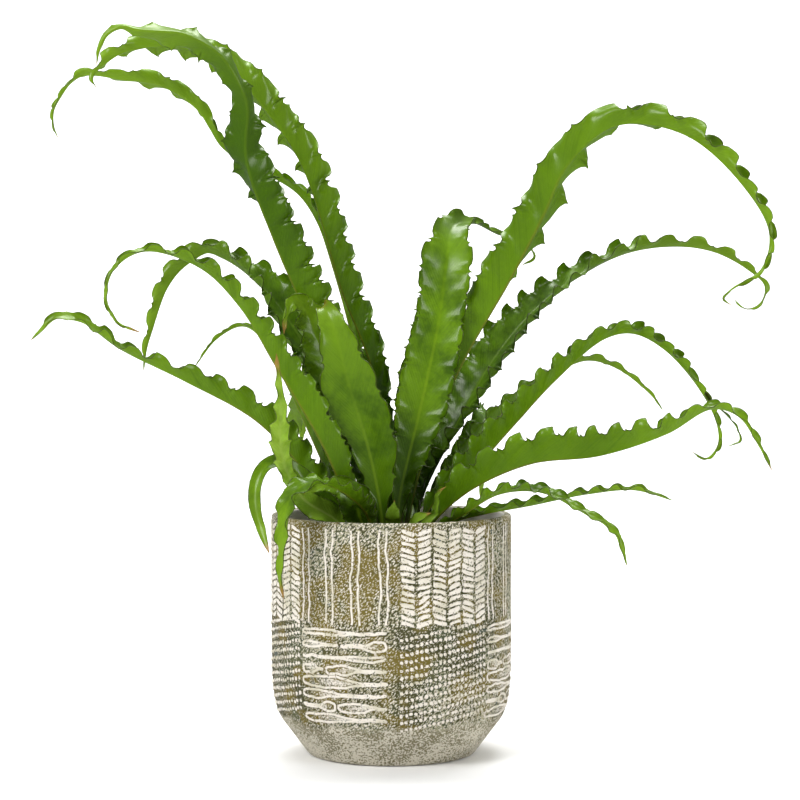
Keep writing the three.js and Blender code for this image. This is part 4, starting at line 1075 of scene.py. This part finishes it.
         fold=[25, 25]),
    dict(name="frond_back_1", slot="leaf", foot=(4, 18), face=(1, 0),
         wave=[18, 18, 16], ruffle=3.4, sides=(1, 1), seed=26,
         route=[(6, 42, 168), (15, 62, 225), (26, 88, 266), (30, 122, 284), (28, 158, 270),
                (25, 184, 236), (23, 194, 206)],
         width=[2.2, 9, 13, 15, 15, 13, 9, 5, 1],
         roll=[90, 90],
         fold=[45, 42, 38, 35, 35, 35, 35, 35, 35]),
    dict(name="frond_back_2", slot="leaf_deep", foot=(-5, 22), face=(1, 0.4),
         wave=[16, 18, 15], ruffle=3.2, sides=(1, 1), seed=27,
         route=[(-14, 46, 168), (-27, 68, 210), (-41, 96, 236), (-52, 128, 240), (-60, 160, 214),
                (-64, 178, 178)],
         width=[2.2, 9, 13, 15, 14, 12, 8, 4, 1],
         roll=[90, 90],
         fold=[45, 42, 38, 35, 35, 35, 35, 35, 35]),
    dict(name="frond_back_3", slot="leaf", foot=(7, 22), face=(1, -0.1),
         wave=[15, 15], ruffle=2.8, sides=(1, 1), seed=28,
         route=[(13, 44, 148), (15, 74, 174), (14, 108, 182), (14, 140, 162), (12, 158, 130)],
         width=[2, 8, 11, 12, 10, 7, 4, 1],
         roll=[90, 90],
         fold=[42, 38, 35, 32, 30, 30, 30, 30]),
    dict(name="frond_back_4", slot="leaf_deep", foot=(-16, 18), face=(0.8, 0.6),
         wave=[16, 15], ruffle=3, sides=(1, 1), seed=29,
         route=[(-34, 33, 158), (-45, 53, 192), (-54, 84, 214), (-62, 118, 214), (-68, 146, 190),
                (-70, 162, 154)],
         width=[2, 8, 12, 13, 12, 10, 7, 3, 1],
         roll=[90, 90],
         fold=[42, 40, 36, 35, 32, 30, 30, 30]),
]
# Near its tip frond P forks, and this is the second, narrow blade
FORK = dict(name="frond_p_fork", wave=[10, 10], ruffle=0.6, sides=(1, 1), seed=30,
            route=[(186, -42, 232), (195, -40, 222), (205, -37, 213), (212, -35, 204), (213, -34, 197),
                   (206, -34, 194)],
            width=[2, 2.4, 2.2, 1.6, 1],
            roll=[90, 90],
            fold=[20, 20])
# Painted shade for fronds without a list of their own: a little deep green low down, gone by the middle
USUAL_PAINTED_SHADE = [0.2, 0]
USUAL_DRY = 0.004
# The stalk, which stands in its socket and widens into the blade
SOCKET_DEPTH = 5
STALK_THICKNESS = 2.8
STALK_HALF_WIDTH = 2.2
STALK_STRAIGHT = 8
STALK_END = 34
STALK_FLATNESS = 0.85
# The blade's skin, its midrib and its tip
BLADE_THICKNESS = 0.75
MARGIN_THICKNESS = 0.5
MARGIN_BULGE = 0.45
RIB_HALF_WIDTH = 1.15
RIB_HEIGHT = 0.3
RIB_FULL_FROM = 6
RIB_FADES = (0.3, 0.6)
RIB_FADE = 0.6
KEEL = 0.35
RIB_COLUMNS = (0.55 * RIB_HALF_WIDTH, 1.3 * RIB_HALF_WIDTH)
RIB_COLUMN_LIMITS = (0.08, 0.16)
TIP_TAPER = 5
TIP_LEFT = 0.02
TIP_CURVE = 0.6
TIP_THINNING = 6
TIP_THICKNESS = 0.35
TIP_FLAT = 8
TIP_AHEAD = 0.8
FOLD_ROUND = 1.2
# The waves, and the band along the margin that rolls up and down with them
CROWDED = (0.38, 0.58)
WAVE_SLOPE = 0.24
WAVE_LEAST = 0.5
WAVE_SPREAD = 0.7
WAVE_JITTER = 0.4
WAVE_RISE = 1.6
RUFFLE_SHARE = 0.34
LOBE = 0.05
FULL_RUFFLE = 4.3
UNDULATION = 0.85
LEAN_OF_WAVES = 0.9
LEAN_OF_BUBBLES = 0.24
BAND_GROWTH = 2.1
BAND_FROM = 1.2
BAND_SHARE = 0.44
MOST_GROWTH = 1.35
CUT = 4.8
CUT_SHARE = 0.3
# In each wave the margin rolls over in a rounded bubble, at 0 and 2, and dips to a small tooth at 1:
# how far its edge is cut back, and by how many degrees it is rolled
OUTLINE = [(0, 0), (0.25, -0.05), (0.45, -0.35), (0.6, -0.8), (0.75, -1), (0.88, -0.95), (0.95, -0.75),
           (1, -0.4), (1.05, -0.85), (1.14, -1.1), (1.28, -1), (1.45, -0.55), (1.6, -0.2), (1.8, -0.03),
           (2, 0)]
BEND = [(0, 104), (0.25, 100), (0.45, 76), (0.6, 30), (0.72, -5), (0.85, -30), (1, -44), (1.1, -34),
        (1.22, -8), (1.34, 30), (1.5, 80), (1.7, 100), (2, 104)]
# Where the mesh has its points, within half a wave and from the midrib to the margin
WITHIN_HALF_WAVE = [0, 0.06, 0.14, 0.28, 0.44, 0.6, 0.75, 0.9]
WITHIN_BLADE = [0.35, 0.7, 1]
WITHIN_BAND = [0.18, 0.36, 0.52, 0.68, 0.84, 1]


def smooth(values, low, high):
    share = np.clip((values - low) / (high - low), 0, 1)
    return share * share * (3 - 2 * share)


def along_list(values, share):
    """Smooth value at each share of a list spaced evenly from 0 to 1."""
    place = np.minimum(share, 0.999999) * (len(values) - 1)
    cell = place.astype(int)
    values = np.array(values, float)
    return values[cell] + (values[cell + 1] - values[cell]) * smooth(place - cell, 0, 1)


def chance(seed, number):
    """A repeatable random number from 0 to 1."""
    return np.mod(np.sin(seed * 127.1 + number * 311.7) * 43758.5453, 1)


def wandering_chance(seed, place):
    """A random number that changes smoothly from one whole place to the next."""
    whole = np.floor(place)
    near, far = chance(seed, whole), chance(seed, whole + 1)
    return near + (far - near) * smooth(place - whole, 0, 1)


def route_curve(points):
    """A fine line through the points of a route, with its length so far."""
    points = np.array(points, float)
    points = np.vstack([2 * points[0] - points[1], points, 2 * points[-1] - points[-2]])
    share = np.linspace(0, 1, 80, endpoint=False)[:, None]
    line = []
    for a, b, c, d in zip(points, points[1:], points[2:], points[3:]):
        first, second, third = (np.linalg.norm(q - p) ** 0.5 for p, q in ((a, b), (b, c), (c, d)))
        leave = ((b - a) / first - (c - a) / (first + second) + (c - b) / second) * second
        arrive = ((c - b) / second - (d - b) / (second + third) + (d - c) / third) * second
        line.append(b + leave * share + (3 * (c - b) - 2 * leave - arrive) * share ** 2
                    + (2 * (b - c) + leave + arrive) * share ** 3)
    line = np.vstack(line + [points[-2:-1]])
    reach = np.append(0, np.cumsum(np.linalg.norm(np.diff(line, axis=0), axis=1)))
    return line, reach


def unit(vectors):
    return vectors / np.maximum(np.linalg.norm(vectors, axis=-1, keepdims=True), 1e-9)


def frond_route(frond):
    points = list(frond["route"])
    if "foot" in frond:
        x, y = frond["foot"]
        points.insert(0, (x, y, crown_height(x * MM, y * MM) / MM - SOCKET_DEPTH))
    return points


def turning_shares(frond, length):
    """Shares of the length at which the margins turn, from the foot to the tip."""
    places = [0]
    while places[-1] < length:
        half = along_list(frond["wave"], np.array(min(1, places[-1] / length))) / 2
        places.append(places[-1] + half * (1 + WAVE_JITTER * (chance(frond["seed"], len(places)) - 0.5)))
    return np.array(places) / places[-1]


def lay_out(frond):
    """Where the frond's cross sections stand: their places in half waves, shares, midrib and directions."""
    line, reach = route_curve(frond_route(frond))
    length = reach[-1]
    turns = turning_shares(frond, length)
    last = len(turns) - 1
    place = np.append((np.arange(last)[:, None] + WITHIN_HALF_WAVE).reshape(-1), last)
    share = np.interp(place, np.arange(last + 1), turns)
    spine = np.stack([np.interp(share * length, reach, line[:, axis]) for axis in range(3)], axis=-1)
    return length, place, share, spine, unit(np.gradient(spine, share, axis=0))


def directions(frond, share, tangent):
    """The way across the blade and the way that its upper face looks, at each cross section."""
    face = Vector((*frond.get("face", (0, -1)), 0)).normalized()
    fronts = []
    before = Vector(tangent[0])
    for step in tangent:
        ahead = Vector(step)
        face.rotate(before.rotation_difference(ahead))
        face = (face - ahead * face.dot(ahead)).normalized()
        before = ahead
        fronts.append(tuple(face))
    front = np.array(fronts)
    right = np.cross(tangent, front)
    roll = np.radians(along_list(frond["roll"], share))[:, None]
    return right * np.cos(roll) + front * np.sin(roll), front * np.cos(roll) - right * np.sin(roll)


def half_section(frond, side, place, share, length, half, stalk):
    """One half of the blade before it is folded: reach from the midrib, lift, push forward and share."""
    leaf = 1 - stalk
    ruffle = frond["ruffle"]
    wave = along_list(frond["wave"], share)
    rise = np.minimum(np.minimum(ruffle, RUFFLE_SHARE * half), WAVE_SLOPE * wave) * leaf
    strength = min(1, ruffle / FULL_RUFFLE) * leaf * smooth((1 - share) * length, 0, TIP_FLAT)
    band = np.minimum(max(1, BAND_GROWTH * (ruffle - BAND_FROM)), BAND_SHARE * half)[:, None]
    calm = along_list(frond.get("calm", [0, 0]), share)
    own = frond["sides"][0 if side < 0 else 1]
    own = own + (1 - own) * smooth(share, *CROWDED)
    flip = side < 0 and frond["seed"] % 2
    tall = WAVE_LEAST + WAVE_SPREAD * wandering_chance(frond["seed"] + side, place)
    phase = np.mod(place + (1 if flip else 0), 2)
    bend = (np.radians(np.interp(phase, *zip(*BEND))) * tall * strength)[:, None]
    cut = np.interp(phase, *zip(*OUTLINE)) * np.minimum(CUT, CUT_SHARE * half) * tall * strength

    full = half * np.maximum(own, stalk) * (1 + LOBE * leaf)
    start = full[:, None] - band
    near = np.stack([column / half for column in RIB_COLUMNS], axis=-1)
    near = np.minimum(near, RIB_COLUMN_LIMITS) * full[:, None]
    flat_reach = near[:, 1:] + (start - near[:, 1:]) * np.array(WITHIN_BLADE)
    grown = band * np.minimum(MOST_GROWTH, 1 / np.sinc(bend / math.pi))
    rolled = (grown + cut[:, None]) * np.array(WITHIN_BAND)
    turned = bend * rolled / grown / 2
    reach = np.hstack([near, flat_reach, start + rolled * np.sinc(2 * turned / math.pi)])
    level = np.hstack([0 * near, 0 * flat_reach])
    curl = np.hstack([level, rolled * turned * np.sinc(turned / math.pi) ** 2])
    part = np.hstack([near, flat_reach, start + rolled]) / (start + rolled[:, -1:])
    crest = np.cos(math.pi * (phase[:, None] + (1 - part) * (2 * half / wave)[:, None] * LEAN_OF_WAVES))
    lift = curl + (rise * tall * UNDULATION * (1 - calm))[:, None] * crest * part ** WAVE_RISE
    bubble = np.cos(math.pi * phase)[:, None] * np.hstack([level, (rolled / grown) ** 2])
    forward = bubble * (wave * LEAN_OF_BUBBLES / 2 * tall * strength)[:, None]
    return reach, lift, forward, part


def blade(frond, finish):
    """The closed skin of one frond."""
    length, place, share, spine, tangent = lay_out(frond)
    across, normal = directions(frond, share, tangent)
    stalk = 1 - smooth(share * length, STALK_STRAIGHT, STALK_END) if "foot" in frond else 0 * share
    leaf = 1 - stalk
    fold = (np.radians(along_list(frond["fold"], share)) * leaf)[:, None]
    half = stalk * STALK_HALF_WIDTH + leaf * along_list(frond["width"], share)
    half = half * np.minimum(1, ((1 - share) * length / TIP_TAPER + TIP_LEFT)) ** TIP_CURVE

    halves = []
    for side in (-1, 1):
        reach, lift, forward, part = half_section(frond, side, place, share, length, half, stalk)
        sideways = side * (reach * np.cos(fold) - lift * np.sin(fold))
        upwards = (np.hypot(reach, FOLD_ROUND) - FOLD_ROUND) * np.sin(fold) + lift * np.cos(fold)
        halves.append((sideways, upwards, forward, part * side, reach))
    zero = np.zeros((len(share), 1))
    sideways, upwards, forward, part, rib_distance = (
        np.hstack([left[:, ::-1], zero, right]) for left, right in zip(*halves))
    middle = spine[:, None] + across[:, None] * sideways[..., None] + normal[:, None] * upwards[..., None]
    middle = middle + tangent[:, None] * forward[..., None]

    skin_normal = unit(np.cross(np.gradient(middle, axis=1), np.gradient(middle, axis=0)))
    thick = (BLADE_THICKNESS + (MARGIN_THICKNESS - BLADE_THICKNESS) * np.abs(part)) * leaf[:, None]
    thick = thick + STALK_THICKNESS * stalk[:, None] * np.sqrt(1 - STALK_FLATNESS * part ** 2)
    thick = thick * np.minimum(1, (1 - share) * length / TIP_THINNING + TIP_THICKNESS)[:, None]
    rib = np.exp(-(rib_distance / RIB_HALF_WIDTH) ** 2) * leaf[:, None]
    rib_shrink = np.minimum(1, half / RIB_FULL_FROM) * (1 - RIB_FADE * smooth(share, *RIB_FADES))
    rib_shrink = rib_shrink[:, None]
    top = middle + skin_normal * (thick / 2 + rib * RIB_HEIGHT * rib_shrink)[..., None]
    keel = RIB_HEIGHT + KEEL * (1 - share[:, None])
    bottom = middle - skin_normal * (thick / 2 + rib * keel * rib_shrink)[..., None]
    bulge = thick[..., None] * MARGIN_BULGE
    left_edge = middle[:, :1] + unit(middle[:, :1] - middle[:, 1:2]) * bulge[:, :1]
    right_edge = middle[:, -1:] + unit(middle[:, -1:] - middle[:, -2:-1]) * bulge[:, -1:]
    rings = np.concatenate([top, right_edge, bottom[:, ::-1], left_edge], axis=1) * MM

    one = np.ones((len(share), 1))
    tip = frond.get("dry", USUAL_DRY)
    dry = smooth(share, 1 - 2 * tip, 1 - 0.5 * tip)
    # Painted shade along the blade, where it lies in the shade of other fronds
    painted_shade = along_list([*frond.get("painted_shade", USUAL_PAINTED_SHADE), 0], share)
    marks = {
        "across": np.hstack([part, one, part[:, ::-1], -one]),
        "rib": np.hstack([rib_distance, half[:, None], rib_distance[:, ::-1], half[:, None]]) * MM,
        "under": np.hstack([0 * part, 0.5 * one, 0 * part + 1, 0.5 * one]),
    }
    for label, values in {"along": share * length * MM, "share": share, "dry": dry, "painted_shade": painted_shade}.items():
        marks[label] = np.repeat(values[:, None], rings.shape[1], axis=1)
    ahead = spine[-1] + tangent[-1] * TIP_AHEAD
    return ring_mesh(frond["name"] + "_blade", rings, spine[0] * MM, ahead * MM, finish, marks)


MARGIN_DARK = paint(50, 60, 16)
RIB_BROWN = paint(98, 98, 26)
STALK_BROWN = paint(70, 56, 28)
TIP_LIGHT = paint(134, 170, 40)
DRY_BROWN = paint(146, 104, 52)
GLOSS_TINT = paint(215, 245, 130)
LEAF_CLOUD = 26 * MM
LEAF_GRAIN = 3 * MM
LEAF_RELIEF = 0.12 * MM
VEIN_PITCH = 3 * MM
VEIN_SLANT = 1.7
VEIN_WANDER = 0.8 * MM
STREAK_WIDTH = 4 * MM
# Where the painted shade low on each frond, among the crowded stalks, fades out, in metres along it
FOOT_SHADE = (20 * MM, 90 * MM)
RIB_PAINT = (0.4 * MM, 1.5 * MM)
STALK_PAINT = (3 * MM, 16 * MM)
# Light and deep green of the upper face, the midrib and the underside
LEAF_COLOURS = {
    "leaf": [(102, 140, 12), (56, 88, 4), (126, 156, 28), (91, 127, 12)],
    "leaf_deep": [(86, 122, 12), (40, 68, 3), (104, 134, 30), (78, 110, 14)],
    "leaf_young": [(146, 178, 60), (106, 144, 32), (170, 190, 100), (138, 166, 70)],
}


def leaf_finish(name, light, deep, rib_light, under):
    """Waxy green with faint slanting side veins, a pale rib above and a thin dark margin."""
    made, plan = new_finish(name)
    place = plan.place()
    along, share, rib = plan.mark("along"), plan.mark("share"), plan.mark("rib")
    painted_shade, below, part = plan.mark("painted_shade"), plan.mark("under"), abs(plan.mark("across"))
    cloud = plan.grain(place, LEAF_CLOUD, 3)
    fine = plan.grain(place, LEAF_GRAIN, 2)
    colour = plan.tint(deep, light, plan.step(cloud + fine * 0.25, 0.4, 0.8))
    slanting = along - rib * VEIN_SLANT
    slant = (slanting + fine * VEIN_WANDER) * (2 * math.pi / VEIN_PITCH)
    vein = (slant.math("SINE") * 0.5 + 0.5) ** 5 * plan.step(part, 0.08, 0.25)
    colour = plan.tint(colour, under, below * 0.75)
    streak = plan.grain(joined(plan, slanting / STREAK_WIDTH, share * 3, part * 0.7), 1.0, 2)
    colour = plan.tint(colour, deep, vein * 0.12 + plan.step(streak, 0.5, 0.75) * 0.3)
    # Painted shade: the frond's own painted shade and a painted shade near the foot, where the fronds
    # crowd, turn the blade towards its deep green
    painted_foot_shade = 1 - plan.step(along, *FOOT_SHADE)
    colour = plan.tint(colour, deep, (painted_shade + painted_foot_shade * 0.6).math("MINIMUM", 1.0))
    # Towards the tip the green turns lighter and yellower, partly the tips' own younger colour and partly
    # painted light, and less so where painted shade lies
    colour = plan.tint(colour, TIP_LIGHT, plan.step(share, 0.5, 1.0) * (0.45 - painted_shade * 0.45))
    rib_mask = 1 - plan.step(rib, *RIB_PAINT)
    colour = plan.tint(colour, rib_light, rib_mask * (0.4 - plan.step(share, 0.3, 0.6) * 0.3))
    brown = rib_mask * below * (1 - plan.step(share, 0.35, 0.6))
    colour = plan.tint(colour, RIB_BROWN, brown * 0.7)
    colour = plan.tint(colour, MARGIN_DARK, plan.step(part, 0.955, 0.985) * 0.8)
    colour = plan.tint(colour, STALK_BROWN, 1 - plan.step(along, *STALK_PAINT))
    colour = plan.tint(colour, DRY_BROWN, plan.mark("dry") * 0.9)
    height = vein * -0.5 + fine * 0.6
    wax = {"Coat Weight": 0.42, "Coat Roughness": 0.22,
           "Specular IOR Level": 0.15, "Specular Tint": GLOSS_TINT}
    close_finish(plan, colour, 0.34 + fine * 0.14, height, LEAF_RELIEF, wax)
    return made


LEAF_FINISHES = {
    slot: leaf_finish(slot, *[paint(*colour) for colour in colours])
    for slot, colours in LEAF_COLOURS.items()
}

for frond in FRONDS:
    dress(blade(frond, LEAF_FINISHES[frond["slot"]]), frond["slot"], frond["name"])
dress(blade(FORK, LEAF_FINISHES["leaf"]), "leaf", "frond_p")
